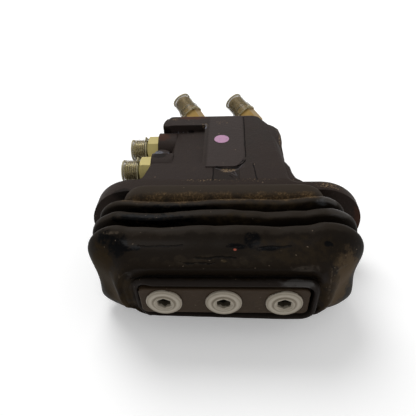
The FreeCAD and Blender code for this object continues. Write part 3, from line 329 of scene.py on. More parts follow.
def stroke_group():
    """A thin line between two places that wanders a little: painted shade in a groove, crease or crevice, a
    torn edge or a rubbed line.
    """
    tree, given, result = new_group("stroke", Start=(0, 0, 0), End=(0.01, 0, 0), Width=0.0005, Wander=0.001)
    place = object_place(tree)
    wobble = noise(tree, place, STROKE_WOBBLE, detail=4.0, roughness=0.5, output="Color")
    drift = vector(tree, "SCALE", vector(tree, "SUBTRACT", wobble, (0.5, 0.5, 0.5)), given["Wander"])
    run = vector(tree, "SUBTRACT", given["End"], given["Start"])
    gone = vector(tree, "SUBTRACT", vector(tree, "ADD", place, drift), given["Start"])
    along = vector(tree, "DOT_PRODUCT", gone, run)
    share = number(tree, "DIVIDE", along, vector(tree, "DOT_PRODUCT", run, run), clamp=True)
    away = vector(tree, "LENGTH", vector(tree, "SUBTRACT", gone, vector(tree, "SCALE", run, share)))
    tree.links.new(line(tree, away, given["Width"]), result)
    return tree


def block_group():
    """A box-shaped place with slightly soft sides, for a shallow cast step."""
    tree, given, result = new_group("block", Centre=(0, 0, 0), Half=(0.01, 0.01, 0.01), Soft=0.0006)
    offset = vector(tree, "SUBTRACT", object_place(tree), given["Centre"])
    inside = axes(tree, vector(tree, "SUBTRACT", given["Half"], vector(tree, "ABSOLUTE", offset)))
    least = number(tree, "MINIMUM", inside["X"], number(tree, "MINIMUM", inside["Y"], inside["Z"]))
    tree.links.new(fade(tree, least, 0.0, given["Soft"]), result)
    return tree


def ring_group():
    """A ring round an axis along Y, for what is turned or moulded round."""
    tree, given, result = new_group("ring", Centre=(0, 0, 0), Radius=0.005, Width=0.0005)
    offset = vector(tree, "SUBTRACT", object_place(tree), given["Centre"])
    length = vector(tree, "LENGTH", vector(tree, "MULTIPLY", offset, (1, 0, 1)))
    away = number(tree, "ABSOLUTE", number(tree, "SUBTRACT", length, given["Radius"]))
    tree.links.new(line(tree, away, given["Width"]), result)
    return tree


def grain_group():
    """Fine surface relief: a pitted grain over a broad unevenness."""
    tree, given, result = new_group("grain", "Height", Scale=700.0, Broad=0.5)
    place = object_place(tree)
    fine = noise(tree, place, given["Scale"], detail=4.0, roughness=0.6)
    wide_scale = number(tree, "MULTIPLY", given["Scale"], BROAD_SCALE)
    wide = noise(tree, place, wide_scale, detail=3.0, roughness=0.5)
    tree.links.new(number(tree, "ADD", fine, number(tree, "MULTIPLY", wide, given["Broad"])), result)
    return tree


def scratches_group():
    """Thin straight marks in one direction."""
    tree, given, result = new_group("scratches", Stretch=(1, 1, 1), Scale=400.0, Cover=0.35)
    drawn = vector(tree, "MULTIPLY", object_place(tree), given["Stretch"])
    value = noise(tree, drawn, given["Scale"], detail=2.0, roughness=0.5)
    tree.links.new(covered(tree, value, given["Cover"], SCRATCH_EDGE), result)
    return tree


GROUPS = {tree.name: tree for tree in (
    patches_group(), specks_group(), zone_group(), band_group(), settled_dust_and_highlight_group(), shaded_group(),
    stroke_group(), block_group(), ring_group(), grain_group(), scratches_group(),
)}

# Inputs of the groups that are lengths, which the finishes give in millimetres
LENGTHS = ("Centre", "Size", "Half", "Start", "End", "Soft", "Width", "Wander", "Radius")

# Sockets of a mix node by what it mixes: both inputs and the output
MIX_SOCKETS = {"FLOAT": (2, 3, 0), "RGBA": (6, 7, 2)}


class Finish:
    """A material: one Principled shader, with masks that paint further colours and roughness over it."""

    def __init__(self, name, colour, rough, **constants):
        self.material = bpy.data.materials.new(name)
        self.material.use_nodes = True
        self.tree = self.material.node_tree
        self.shader = self.tree.nodes["Principled BSDF"]
        self.colour = (*colour, 1)
        self.rough = rough
        self.height = None
        for key, value in {"Base Color": self.colour, "Roughness": rough, **constants}.items():
            self.shader.inputs[key.replace("_", " ")].default_value = value

    def mask(self, kind, **values):
        """A group with its inputs set, lengths in millimetres."""
        group = add(self.tree, "ShaderNodeGroup", node_tree=GROUPS[kind])
        for key, value in values.items():
            if key in LENGTHS:
                value = tuple(part * MM for part in value) if isinstance(value, tuple) else value * MM
            group.inputs[key].default_value = value
        return group.outputs[0]

    def times(self, first, second):
        return number(self.tree, "MULTIPLY", first, second)

    def broken(self, mask, **values):
        """A mask broken up by patches."""
        return self.times(mask, self.mask("patches", **values))

    def mixed(self, kind, mask, first, second):
        mix = add(self.tree, "ShaderNodeMix", data_type=kind)
        under, over, result = MIX_SOCKETS[kind]
        self.tree.links.new(mask, mix.inputs["Factor"])
        feed(self.tree, mix.inputs[under], first)
        feed(self.tree, mix.inputs[over], second)
        return mix.outputs[result]

    def layer(self, mask, colour, rough=None, strength=1.0):
        """Paint a colour, and a roughness if given, where the mask is."""
        if strength != 1.0:
            mask = self.times(mask, strength)
        self.colour = self.mixed("RGBA", mask, self.colour, (*colour, 1))
        if rough is not None:
            self.rough = self.mixed("FLOAT", mask, self.rough, rough)

    def tone(self, kind, colour, rough=None, strength=1.0, **values):
        """Paint a layer where a group alone is the mask."""
        self.layer(self.mask(kind, **values), colour, rough, strength)

    def relief(self, height, amount):
        """Add to the bump height, in millimetres."""
        raised = self.times(height, amount)
        self.height = raised if self.height is None else number(self.tree, "ADD", self.height, raised)

    def grain(self, amount, **values):
        """Add the grain of the surface, whose height is in millimetres, and close the material."""
        self.relief(self.mask("grain", **values), amount)
        return self.done()

    def done(self):
        feed(self.tree, self.shader.inputs["Base Color"], self.colour)
        feed(self.tree, self.shader.inputs["Roughness"], self.rough)
        if self.height is not None:
            bump = add(self.tree, "ShaderNodeBump")
            bump.inputs["Distance"].default_value = MM
            self.tree.links.new(self.height, bump.inputs["Height"])
            self.tree.links.new(bump.outputs["Normal"], self.shader.inputs["Normal"])
        return self.material


# Colours of the casting and of what lies on it
CAST_BROWN = (0.026, 0.0185, 0.0158)
CAST_BLACK = (0.0215, 0.0175, 0.0150)
CAST_WARM = (0.038, 0.027, 0.022)
CAST_DEEP = (0.016, 0.012, 0.010)
CAST_LIGHT = (0.046, 0.034, 0.028)
EAR_BROWN = (0.0200, 0.0125, 0.0090)
PAD_GREY = (0.043, 0.033, 0.0305)
DUST_FILM = (0.075, 0.055, 0.040)
STEP_SHADE = (0.015, 0.011, 0.009)
LINE_SHADE = (0.004, 0.003, 0.003)
TORN_GREY = (0.060, 0.054, 0.055)
TORN_GRIT = (0.17, 0.115, 0.065)
SHADE_BLACK = (0.006, 0.004, 0.003)
SAND = (0.24, 0.165, 0.095)
SCUFF_BLUE = (0.15, 0.155, 0.18)
RUST = (0.062, 0.026, 0.016)
PALE_SPECK = (0.26, 0.19, 0.13)
BROWN_SPECK = (0.085, 0.062, 0.044)
DARK_SPECK = (0.010, 0.009, 0.008)

# Colours of the bar's face
BAR_BROWN = (0.036, 0.0225, 0.0125)
BAR_RUBBED = (0.054, 0.037, 0.023)
BAR_DEEP = (0.024, 0.016, 0.010)
BAR_BRUSHED = (0.085, 0.062, 0.042)
BAR_SPECK = (0.17, 0.13, 0.095)

# Colours of the boot and of the dirt on it
BOOT_BLACK = (0.0085, 0.0060, 0.0040)
BOOT_WORN = (0.0130, 0.0090, 0.0058)
BOOT_BROWN = (0.0175, 0.0120, 0.0072)
BOOT_DEEP = (0.0040, 0.0026, 0.0016)
CREST_DUST_AND_HIGHLIGHT = (0.0215, 0.0165, 0.0122)
VALLEY_SHADE = (0.0020, 0.0015, 0.0010)
COLLAR_BROWN = (0.0105, 0.0072, 0.0046)
LIP_GREY = (0.0200, 0.0160, 0.0140)
BEAD_BROWN = (0.036, 0.0275, 0.0205)
BEAD_CLUMP = (0.084, 0.054, 0.027)
BEAD_SAND = (0.21, 0.136, 0.069)
BEAD_SPECK = (0.018, 0.013, 0.009)
CREASE_SHADE = (0.0025, 0.0020, 0.0016)
DENT_AND_VALLEY_SHADE = (0.0004, 0.0004, 0.0006)
RUB_BROWN = (0.075, 0.058, 0.042)
BOOT_FILM = (0.060, 0.042, 0.025)
BOOT_SPECK = (0.20, 0.155, 0.115)
GRIME = (0.030, 0.0210, 0.0130)
GRIT = (0.09, 0.062, 0.036)
RED_CHIP = (0.30, 0.075, 0.05)

# Colours of the plated and the bare metals
YELLOW_ZINC = (0.40, 0.335, 0.125)
YELLOW_SHADE = (0.085, 0.060, 0.020)
GOLD_ZINC = (0.27, 0.170, 0.045)
GOLD_SHADE = (0.070, 0.040, 0.012)
GROUND_STEEL = (0.56, 0.56, 0.57)
BLACK_OXIDE = (0.12, 0.115, 0.11)
DRAWN_WIRE = (0.26, 0.25, 0.25)
SINTERED_BRONZE = (0.55, 0.38, 0.18)
PLATE_STAIN = (0.15, 0.11, 0.055)
PLATE_SPECK = (0.05, 0.04, 0.025)
THREAD_GREY = (0.19, 0.145, 0.080)
THREAD_DIRT = (0.030, 0.022, 0.013)
THREAD_YELLOW = (0.36, 0.28, 0.15)
THREAD_SHADE = (0.05, 0.038, 0.024)

# Colours of the caps, the plugs, the seals and the sticker
CAP_YELLOW = (0.23, 0.185, 0.100)
CAP_DULL = (0.13, 0.100, 0.050)
RIM_MILK = (0.42, 0.37, 0.22)
RIM_DULL = (0.25, 0.205, 0.11)
PLUG_WHITE = (0.40, 0.355, 0.285)
PLUG_GREY = (0.33, 0.29, 0.225)
PLUG_STAIN = (0.17, 0.135, 0.09)
PLUG_SPECK = (0.09, 0.07, 0.05)
SOCKET_BROWN = (0.055, 0.044, 0.028)
SOCKET_SHADE = (0.004, 0.003, 0.002)
SEAL_BLACK = (0.022, 0.022, 0.023)
SEAL_DUST = (0.05, 0.046, 0.04)
DOT_PINK = (0.45, 0.25, 0.38)
DOT_FADED = (0.33, 0.20, 0.31)
DOT_DIRT = (0.17, 0.11, 0.16)

# Places on the casting, in millimetres. Steps: a shallow sunk channel, painted darker as shade: centre and
# half size
CAST_STEPS = (
    ((1.4, 5.2, 27), (8.3, 6.6, 2)),
)

# Dark lines painted as shade along edges, steps and the crevice under the pad's torn edge, and the torn lip
# of the pad: start, end and width
SHADE_LINES = (
    ((18.2, 15.9, 27), (19.8, -0.8, 27), 0.6),
    ((13.7, 24, 27.2), (13.7, 78, 27.2), 0.7),
    ((10.8, 16.5, 27.2), (13.7, 24, 27.2), 0.6),
    ((-26.2, 66.7, 21.4), (-24, 66.5, 21.5), 1.6),
    ((-5, 12.1, 27), (2.2, 10.6, 27), 1.2),
    ((2.2, 10.6, 27), (8, 12.2, 27), 1.4),
    ((8, 12.2, 27), (12.6, 19, 27), 1.2),
    ((-6.9, 11.8, 27), (-6.8, -1.2, 27), 0.5),
    ((3.4, 3.6, 27), (5, 1.4, 27), 0.5),
    ((-16, 20, 22.5), (-15, 52, 22.5), 0.5),
)
TORN_LIP = (
    ((-5.2, 11.4, 27), (-1.4, 8.8, 27), 0.7),
    ((-1.4, 8.8, 27), (3.6, 7, 27), 1),
    ((3.6, 7, 27), (8.4, 10, 27), 0.9),
    ((8.4, 10, 27), (12.2, 16, 27), 0.7),
    ((6.2, 8, 27), (7.8, 3, 27), 0.6),
    ((4, 6.6, 27), (7, 3.6, 27), 0.5),
)

# Dark corners, painted as shade: centre and size
CAST_SHADE = (
    ((-60, -11, 24.5), (9, 4, 5)),
    ((-45, 34.5, 21.5), (6, 3.5, 4)),
    ((-44, 67, 21), (4, 2, 6)),
)

# Gritty dust and pale scuffs: centre, size and cover
DUST_PLACES = (
    ((-2, 69, 27.7), (5.5, 4, 3), 0.44),
    ((-14, -1.2, 27), (16, 1.4, 3), 0.46),
    ((16, -1, 27), (20, 2.2, 3), 0.42),
    ((-40, -3, 27), (12, 1.4, 3), 0.36),
    ((8, 1, 27), (16, 8, 3), 0.34),
    ((2, 8.8, 27), (6, 2.2, 3), 0.55),
    ((63.5, -6.6, 26), (12, 3.6, 4), 0.5),
    ((56, -3, 26.8), (20, 3, 3), 0.34),
    ((-56, -3, 26.2), (18, 3, 4), 0.28),
    ((-74, -7, 16), (8, 5, 10), 0.26),
    ((30, 12, 26.2), (10, 12, 3), 0.24),
    ((72, -10, 18), (13, 6, 14), 0.3),
    ((14, 60, 27.2), (1.5, 22, 2), 0.38),
    ((14, 30, 27.2), (1.5, 10, 2), 0.38),
    ((-15, 66, 26.5), (3, 4, 4), 0.5),
    ((39.5, 56, 18.5), (1.5, 14, 4), 0.5),
    ((25.5, 28, 27.2), (4, 8, 3), 0.3),
    ((-38, 76, 26.5), (3, 2, 3), 0.5),
    ((-26, 75, 26.8), (3.5, 2, 3), 0.45),
)
PALE_SCUFFS = (
    ((-36, 66.2, 21.3), (12, 2.5, 3), 0.45),
    ((-46.5, 38.5, 21.3), (6, 2.2, 3), 0.62),
    ((-41.5, 38, 21.3), (7, 1.6, 3), 0.5),
    ((-14.2, 64, 27), (1.2, 4, 3), 0.6),
    ((-37, 45, 21.5), (4, 16, 4), 0.25),
)

# Rusty places: centre and size
RUST_PLACES = (
    ((-25, 78.5, 26.2), (13, 3.5, 5)),
    ((-45, 60, 21), (6, 6, 5)),
    ((82, -8, 4), (6, 8, 16)),
)

# Places on the boot, in millimetres. Crests and valleys of the folds, with dust and a painted highlight on
# the crests and painted shade in the valleys: start and end along Y
BOOT_CRESTS = ((-51.5, -43.5), (-39.5, -32), (-30, -22.5))
BOOT_VALLEYS = ((-44, -39.2), (-33.2, -29.2))

# Dusty, brown and rubbed places, and painted highlights on the lip's top right and the third fold's right
# end: centre, size, colour and cover
BOOT_TINTS = (
    ((-63.5, -57, 4), (14, 14, 27), (0.025, 0.016, 0.0065), 0.9),
    ((-56, -63, -10), (12, 12, 14), (0.046, 0.0325, 0.019), 0.8),
    ((56, -66, -9), (10, 8, 14), (0.046, 0.032, 0.019), 0.6),
    ((62, -60, 4), (14, 14, 26), (0.082, 0.056, 0.032), 0.85),
    ((54, -67, 6), (7, 6, 18), (0.03, 0.0205, 0.0115), 0.75),
    ((38, -58, 26), (30, 10, 8), (0.019, 0.0132, 0.0075), 0.65),
    ((-5, -64, 25), (46, 3.5, 4), (0.022, 0.0165, 0.011), 0.6),
    ((-52, -67, 8), (6, 6, 16), (0.026, 0.018, 0.0095), 0.7),
    ((22, -28.7, 30), (30, 3.5, 5), (0.03, 0.0205, 0.011), 0.66),
    ((8, -38.8, 29.8), (24, 3.5, 5), (0.028, 0.019, 0.0095), 0.6),
    ((-32, -29.2, 27), (20, 3, 4), (0.036, 0.026, 0.015), 0.3),
    ((-8, -66.8, 16), (34, 3, 2.2), (0.034, 0.024, 0.014), 0.42),
    ((0.5, -64.2, 25.1), (2.2, 0.9, 2), (0.052, 0.037, 0.02), 0.7),
    ((-9, -63.2, 25.6), (6, 1.4, 3), (0.036, 0.025, 0.014), 0.6),
    ((40, -67, 22.4), (9, 3, 2.2), (0.042, 0.034, 0.027), 0.72),
    ((18, -56, 29.5), (14, 2, 4), (0.015, 0.013, 0.0125), 0.6),
    # Painted highlight on the lip's top right
    ((37, -69.8, 15.2), (11, 3, 3), (0.06, 0.056, 0.053), 0.8),
    # Painted highlight on the third fold's right end
    ((54, -28.2, 31.7), (4.5, 4, 3), (0.055, 0.056, 0.058), 0.7),
)

# Creases and the crevice behind the lip, painted black as shade: start, end and width
BOOT_CREASES = (
    ((2, -57.3, 28), (11, -56.8, 28.2), 0.7),
    ((15, -58, 27.7), (33, -57, 28.2), 0.9),
    ((-14.5, -63, 25.6), (6, -62.7, 25.8), 0.8),
    ((-23, -65, 24.6), (-4, -65.2, 24.5), 0.6),
    ((-42, -57.2, 27.9), (-20, -57, 28), 0.7),
    ((-50, -65.8, 14.8), (47, -65.8, 14.8), 1),
)

# Painted shade in dents of the first fold and in the valleys between the folds: centre and size
BOOT_DARK = (
    ((-53.5, -56, 27), (8.5, 6.8, 7)),
    ((-61.4, -51.2, 28.5), (5.5, 4.5, 5)),
    ((-47, -58, 27.7), (8, 2.2, 5)),
    ((14.4, -53.5, 29), (5, 5.2, 5)),
    ((7.4, -57, 28.1), (6, 1.8, 5)),
    ((22.5, -57.8, 27.7), (9, 1.8, 5)),
    ((51.7, -56.3, 28.7), (2.8, 1.4, 4)),
    ((-38, -38.8, 29), (26, 5, 7)),
    ((-30, -29, 27.2), (28, 4, 5)),
)

# Rubbed lines: start, end and width
BOOT_RUBS = (
    ((53.4, -65, 20), (52.3, -68.4, 16.3), 0.7),
    ((52.3, -68.4, 16.3), (53.5, -68.5, 2), 0.8),
    ((-52, -67.8, 17.7), (-52.6, -68.6, 6), 0.7),
    ((-61.5, -49.5, 29.8), (-54.3, -50.4, 30.7), 1.1),
    ((56, -64, 18), (64, -57, 16), 0.7),
)

# Shiny places: centre, size and weight of the coat
BOOT_SHINE = (
    ((37, -69.8, 15.2), (12, 4, 3.5), 0.5),
    ((56, -28.2, 31), (8, 6, 5), 0.8),
    ((60, -35, 30), (10, 5, 6), 0.6),
)

# The chip of red paint that sticks to the boot: centre and size
CHIP_CENTRE = (5.9, -58.8, 27.4)
CHIP_SIZE = (1.0, 0.7, 3.0)

# The part of the bead's top that carries grit: centre and half size
BEAD_TOP_CENTRE = (-3.0, -20.0, 31.0)
BEAD_TOP_HALF = (56.0, 8.0, 6.0)

# The raised pad: centre and half size
PAD_CENTRE = (0.75, 47.0, 27.5)
PAD_HALF = (13.0, 36.0, 3.0)

# Rings round each plug in place of its moulded edges: painted shade round the socket, a painted highlight on
# the raised ring and a darker ring at the flange's edge: radius, width, colour and strength
PLUG_RINGS = (
    (5.8, 0.7, (0.12, 0.095, 0.06), 0.6),
    (7.2, 0.5, (0.52, 0.47, 0.39), 0.6),
    (8.6, 0.5, (0.2, 0.165, 0.12), 0.45),
)
PLUG_PITCH = 31.0


# Finishes

def casting_paint():
    """Black-brown paint over sand-cast iron: dusty, scuffed and chipped at its edges, with painted shade in
    its corners, grooves and sunk channel.
    """
    paint = Finish("casting_paint", CAST_BROWN, 0.55, Specular_IOR_Level=0.06)
    paint.tone("patches", CAST_BLACK, 0.5, Scale=28.0, Cover=0.52, Edge=0.3)
    paint.tone("patches", CAST_WARM, 0.62, 0.6, Scale=95.0, Cover=0.42, Edge=0.2, Seed=0.3)
    paint.tone("patches", CAST_DEEP, 0.55, 0.5, Scale=330.0, Cover=0.42, Edge=0.2, Seed=0.9)
    paint.tone("patches", CAST_LIGHT, 0.6, 0.35, Scale=900.0, Cover=0.42, Edge=0.25, Seed=2.1)
    paint.tone("band", EAR_BROWN, 0.55, 0.75, Start=-20.0, End=1.5, Soft=3.0)
    paint.tone("block", PAD_GREY, 0.5, 0.65, Centre=PAD_CENTRE, Half=PAD_HALF, Soft=2.0)
    paint.tone("settled_dust_and_highlight", DUST_FILM, 0.8, 0.3, Scale=240.0, Cover=0.42, Steepness=0.5)
    # The sunk channel: painted shade, with a shallow bump step
    for centre, half in CAST_STEPS:
        step = paint.mask("block", Centre=centre, Half=half)
        paint.layer(step, STEP_SHADE, 0.6, 0.75)
        paint.relief(step, -0.5)
    # Painted shade along edges and in crevices, cut in as shallow grooves
    for start, end, width in SHADE_LINES:
        mark = paint.mask("stroke", Start=start, End=end, Width=width, Wander=1.2)
        paint.layer(mark, LINE_SHADE, 0.7, 0.9)
        paint.relief(mark, -0.35)
    for start, end, width in TORN_LIP:
        torn = paint.mask("stroke", Start=start, End=end, Width=width, Wander=1.6)
        paint.layer(torn, TORN_GREY, 0.7, 0.8)
        grit = paint.broken(torn, Scale=900.0, Cover=0.42, Edge=0.12, Seed=end[0] * MM)
        paint.layer(grit, TORN_GRIT, 0.8, 0.7)
        paint.relief(torn, 0.35)
    # Painted shade in the dark corners
    for centre, size in CAST_SHADE:
        paint.tone("zone", SHADE_BLACK, 0.6, 0.85, Centre=centre, Size=size, Ragged=0.2)
    for centre, size, cover in DUST_PLACES:
        place = paint.mask("zone", Centre=centre, Size=size, Ragged=0.25)
        dust = paint.broken(place, Scale=1000.0, Cover=cover, Edge=0.1, Seed=centre[0] * MM)
        paint.layer(dust, SAND, 0.85, 0.85)
    for centre, size, cover in PALE_SCUFFS:
        place = paint.mask("zone", Centre=centre, Size=size, Ragged=0.4)
        paint.layer(paint.broken(place, Scale=520.0, Cover=cover, Edge=0.15), SCUFF_BLUE, 0.6, 0.85)
    for centre, size in RUST_PLACES:
        paint.tone("zone", RUST, 0.7, 0.7, Centre=centre, Size=size, Ragged=0.4)
    paint.tone("specks", PALE_SPECK, 0.8, 0.8, Scale=260.0, Reach=0.15, Share=0.12)
    paint.tone("specks", BROWN_SPECK, 0.8, 0.55, Scale=640.0, Reach=0.24, Share=0.20)
    paint.tone("specks", DARK_SPECK, 0.8, 0.8, Scale=520.0, Reach=0.2, Share=0.07)
    return paint.grain(0.2, Scale=620.0, Broad=2.2)


def bar_paint():
    """The pedal bar: machined face, painted and rubbed brown."""
    paint = Finish("bar_paint", BAR_BROWN, 0.5, Specular_IOR_Level=0.10)
    paint.tone("patches", BAR_RUBBED, 0.6, 0.8, Scale=70.0, Cover=0.5, Edge=0.25)
    paint.tone("patches", BAR_DEEP, 0.5, 0.7, Scale=210.0, Cover=0.42, Edge=0.15, Seed=0.3)
    paint.tone("scratches", BAR_BRUSHED, 0.6, 0.35, Stretch=(0.15, 1.0, 1.0), Scale=900.0, Cover=0.38)
    paint.tone("specks", BAR_SPECK, 0.75, 0.7, Scale=420.0, Reach=0.2, Share=0.1)
    return paint.grain(0.1, Scale=900.0, Broad=1.0)


def bead_dirt(rubber):
    """The bead is brown with dust, and grit clumps along its top edge."""
    rubber.tone("band", BEAD_BROWN, 0.7, 0.9, Start=-26.5, End=-9.5, Soft=3.0)
    edge = rubber.mask("band", Start=-26.2, End=-18.2, Soft=3.0)
    top = rubber.mask("block", Centre=BEAD_TOP_CENTRE, Half=BEAD_TOP_HALF, Soft=4.0)
    edge = rubber.times(edge, top)
    clumped = rubber.broken(edge, Scale=110.0, Cover=0.68, Edge=0.3)
    rubber.layer(clumped, BEAD_CLUMP, 0.8, 0.85)
    sand = rubber.broken(clumped, Scale=900.0, Cover=0.52, Edge=0.12, Seed=0.4)
    rubber.layer(sand, BEAD_SAND, 0.85, 0.75)
    specks = rubber.times(edge, rubber.mask("specks", Scale=620.0, Reach=0.24, Share=0.14))
    rubber.layer(specks, BEAD_SPECK, 0.8, 0.8)


def boot_marks(rubber):
    """Painted shade in creases, dents and valleys, and rubbed lines of the boot."""
    # Painted shade in the creases and the crevice, cut in as grooves
    for start, end, width in BOOT_CREASES:
        crease = rubber.mask("stroke", Start=start, End=end, Width=width, Wander=3.0)
        rubber.layer(crease, CREASE_SHADE, 0.5, 0.85)
        rubber.relief(crease, -0.4)
    # Painted shade in the dents and valleys
    for centre, size in BOOT_DARK:
        spot = rubber.mask("zone", Centre=centre, Size=size, Ragged=0.4)
        spot = rubber.broken(spot, Scale=420.0, Cover=0.70, Edge=0.2, Seed=centre[2] * MM)
        rubber.layer(spot, DENT_AND_VALLEY_SHADE, 0.3)
    for start, end, width in BOOT_RUBS:
        rub = rubber.mask("stroke", Start=start, End=end, Width=width, Wander=2.0)
        rubber.layer(rubber.broken(rub, Scale=480.0, Cover=0.62, Edge=0.2), RUB_BROWN, 0.6, 0.7)


def boot_shine(rubber):
    """Places polished by handling get a clear coat."""
    coat = 0.0
    for centre, size, weight in BOOT_SHINE:
        shine = rubber.times(rubber.mask("zone", Centre=centre, Size=size, Ragged=0.3), weight)
        coat = number(rubber.tree, "MAXIMUM", coat, shine)
    rubber.tree.links.new(coat, rubber.shader.inputs["Coat Weight"])


def boot_rubber():
    """Moulded rubber: painted shade black in the valleys, dust and a painted highlight on the crests, browned
    by dust on top and at the sides, shiny where handled.
    """
    rubber = Finish("boot_rubber", BOOT_BLACK, 0.5, Specular_IOR_Level=0.035, Coat_Roughness=0.25,
                    Coat_IOR=1.3)
    rubber.tone("patches", BOOT_WORN, 0.5, Scale=34.0, Cover=0.5, Edge=0.3)
    rubber.tone("patches", BOOT_BROWN, 0.55, 0.6, Scale=150.0, Cover=0.4, Edge=0.25, Seed=0.7)
    rubber.tone("patches", BOOT_DEEP, 0.5, 0.5, Scale=620.0, Cover=0.38, Edge=0.2, Seed=1.7)
    # The crests' tops: dust and a painted highlight
    for start, end in BOOT_CRESTS:
        crest = rubber.times(rubber.mask("band", Start=start, End=end, Soft=2.2),
                             rubber.mask("settled_dust_and_highlight", Scale=80.0, Cover=0.8, Steepness=0.35))
        rubber.layer(crest, CREST_DUST_AND_HIGHLIGHT, 0.45, 0.85)
    # The valleys: painted shade
    for start, end in BOOT_VALLEYS:
        rubber.tone("band", VALLEY_SHADE, 0.6, 0.9, Start=start, End=end, Soft=2.0)
    rubber.tone("band", COLLAR_BROWN, 0.5, 0.8, Start=-74.5, End=-63.5, Soft=2.0)
    rubber.tone("band", LIP_GREY, 0.5, 0.75, Start=-74.5, End=-67.2, Soft=1.2)
    # Dusty, brown and rubbed places, and two painted highlights
    for centre, size, colour, cover in BOOT_TINTS:
        place = rubber.mask("zone", Centre=centre, Size=size, Ragged=0.3)
        place = rubber.broken(place, Scale=230.0, Cover=cover, Edge=0.3, Seed=centre[0] * MM)
        rubber.layer(place, colour, 0.75, 0.85)
    bead_dirt(rubber)
    boot_marks(rubber)
    boot_shine(rubber)
    rubber.tone("settled_dust_and_highlight", BOOT_FILM, 0.8, 0.3, Scale=420.0, Cover=0.36, Steepness=0.1)
    rubber.tone("specks", BOOT_SPECK, 0.8, 0.7, Scale=310.0, Reach=0.13, Share=0.19)
    collar = rubber.mask("band", Start=-74.5, End=-56.0, Soft=6.0)
    rubber.layer(rubber.broken(collar, Scale=260.0, Cover=0.42, Edge=0.3, Seed=3.1), GRIME, 0.8, 0.5)
    rubber.tone("specks", GRIT, 0.8, 0.6, Scale=760.0, Reach=0.16, Share=0.10)
    rubber.tone("zone", RED_CHIP, 0.6, 0.9, Centre=CHIP_CENTRE, Size=CHIP_SIZE, Ragged=0.02)
    return rubber.grain(0.12, Scale=520.0, Broad=1.6)


def zinc_plate(name, colour, down_shade):
    """Passivated zinc: yellow with greenish and pale blotches, and painted olive shade on the faces that look
    down.
    """
    plate = Finish(name, colour, 0.34, Metallic=0.6)
    plate.tone("patches", tuple(part * 0.74 for part in colour), 0.42, Scale=110.0, Cover=0.48, Edge=0.25)
    # Painted shade on the faces that look down
    plate.tone("shaded", down_shade, 0.5, 0.85, Low=-0.3, High=0.75)
    plate.tone("patches", PLATE_STAIN, 0.6, 0.6, Scale=260.0, Cover=0.3, Edge=0.15, Seed=0.4)
    plate.tone("specks", PLATE_SPECK, 0.7, 0.7, Scale=520.0, Reach=0.2, Share=0.14)
    return plate.grain(0.03, Scale=1200.0, Broad=1.0)


def thread_zinc():
    """Threads under the caps: greyer, with dirt in their grooves."""
    plate = Finish("thread_zinc", THREAD_GREY, 0.38, Metallic=0.5)
    plate.tone("patches", THREAD_DIRT, 0.55, Scale=170.0, Cover=0.54, Edge=0.12)
    plate.tone("patches", THREAD_YELLOW, 0.35, 0.7, Scale=300.0, Cover=0.36, Edge=0.12, Seed=0.6)
    # Painted shade on the faces that look down
    plate.tone("shaded", THREAD_SHADE, 0.5, 0.7, Low=-0.4, High=0.5)
    return plate.grain(0.02, Scale=1500.0, Broad=1.0)


def clear_plastic():
    """Soft clear polyethylene, slightly yellow and scuffed, with haze that hides a little more."""
    plastic = Finish("clear_plastic", CAP_YELLOW, 0.24, Specular_IOR_Level=0.3)
    plastic.tone("patches", CAP_DULL, 0.34, Scale=160.0, Cover=0.48, Edge=0.3)
    haze = plastic.mask("patches", Scale=220.0, Cover=0.5, Edge=0.35, Seed=0.2)
    alpha = number(plastic.tree, "ADD", plastic.times(haze, 0.24), 0.28)
    plastic.tree.links.new(alpha, plastic.shader.inputs["Alpha"])
    return plastic.grain(0.04, Scale=420.0, Broad=1.5)


def rim_plastic():
    """The thick rims and loops of the caps, where the plastic looks milky."""
    plastic = Finish("rim_plastic", RIM_MILK, 0.3, Specular_IOR_Level=0.3, Alpha=0.85)
    plastic.tone("patches", RIM_DULL, 0.45, Scale=300.0, Cover=0.45, Edge=0.2)
    return plastic.grain(0.04, Scale=420.0, Broad=1.5)


def white_plastic():
    """Matt off-white plugs, greyed by handling, with dirt in their sockets and painted shade deep inside
    them.
    """
    plastic = Finish("white_plastic", PLUG_WHITE, 0.5, Specular_IOR_Level=0.25)
    plastic.tone("patches", PLUG_GREY, 0.6, Scale=120.0, Cover=0.45, Edge=0.3)
    plastic.tone("patches", PLUG_STAIN, 0.75, 0.6, Scale=420.0, Cover=0.3, Edge=0.12, Seed=0.5)
    plastic.tone("specks", PLUG_SPECK, 0.8, 0.7, Scale=700.0, Reach=0.22, Share=0.08)
    plastic.tone("band", SOCKET_BROWN, 0.8, 0.95, Start=-70.2, End=-50.0, Soft=0.6)
    # Painted shade deep in the sockets
    plastic.tone("band", SOCKET_SHADE, 0.8, 0.95, Start=-68.0, End=-50.0, Soft=1.2)
    # Painted shade and highlight rings in place of each plug's moulded edges
    for side in (-1, 0, 1):
        for radius, width, colour, strength in PLUG_RINGS:
            centre = (side * PLUG_PITCH, 0, 0)
            plastic.tone("ring", colour, 0.7, strength, Centre=centre, Radius=radius, Width=width)
    return plastic.grain(0.04, Scale=900.0, Broad=1.0)


def plain_metal(name, colour, rough):
    """Bare or blackened metal with darker patches and fine turning marks."""
    metal = Finish(name, colour, rough, Metallic=1.0)
    darker = tuple(part * 0.75 for part in colour)
    lighter = tuple(min(1.0, part * 1.25) for part in colour)
    metal.tone("patches", darker, rough + 0.1, Scale=180.0, Cover=0.45, Edge=0.25)
    metal.tone("scratches", lighter, None, 0.4, Stretch=(1.0, 0.12, 1.0), Scale=1500.0, Cover=0.35)
    return metal.grain(0.02, Scale=1500.0, Broad=0.6)


def seal_rubber():
    rubber = Finish("seal_rubber", SEAL_BLACK, 0.4)
    rubber.tone("patches", SEAL_DUST, 0.6, Scale=240.0, Cover=0.4, Edge=0.2)
    return rubber.grain(0.03, Scale=1200.0, Broad=1.0)


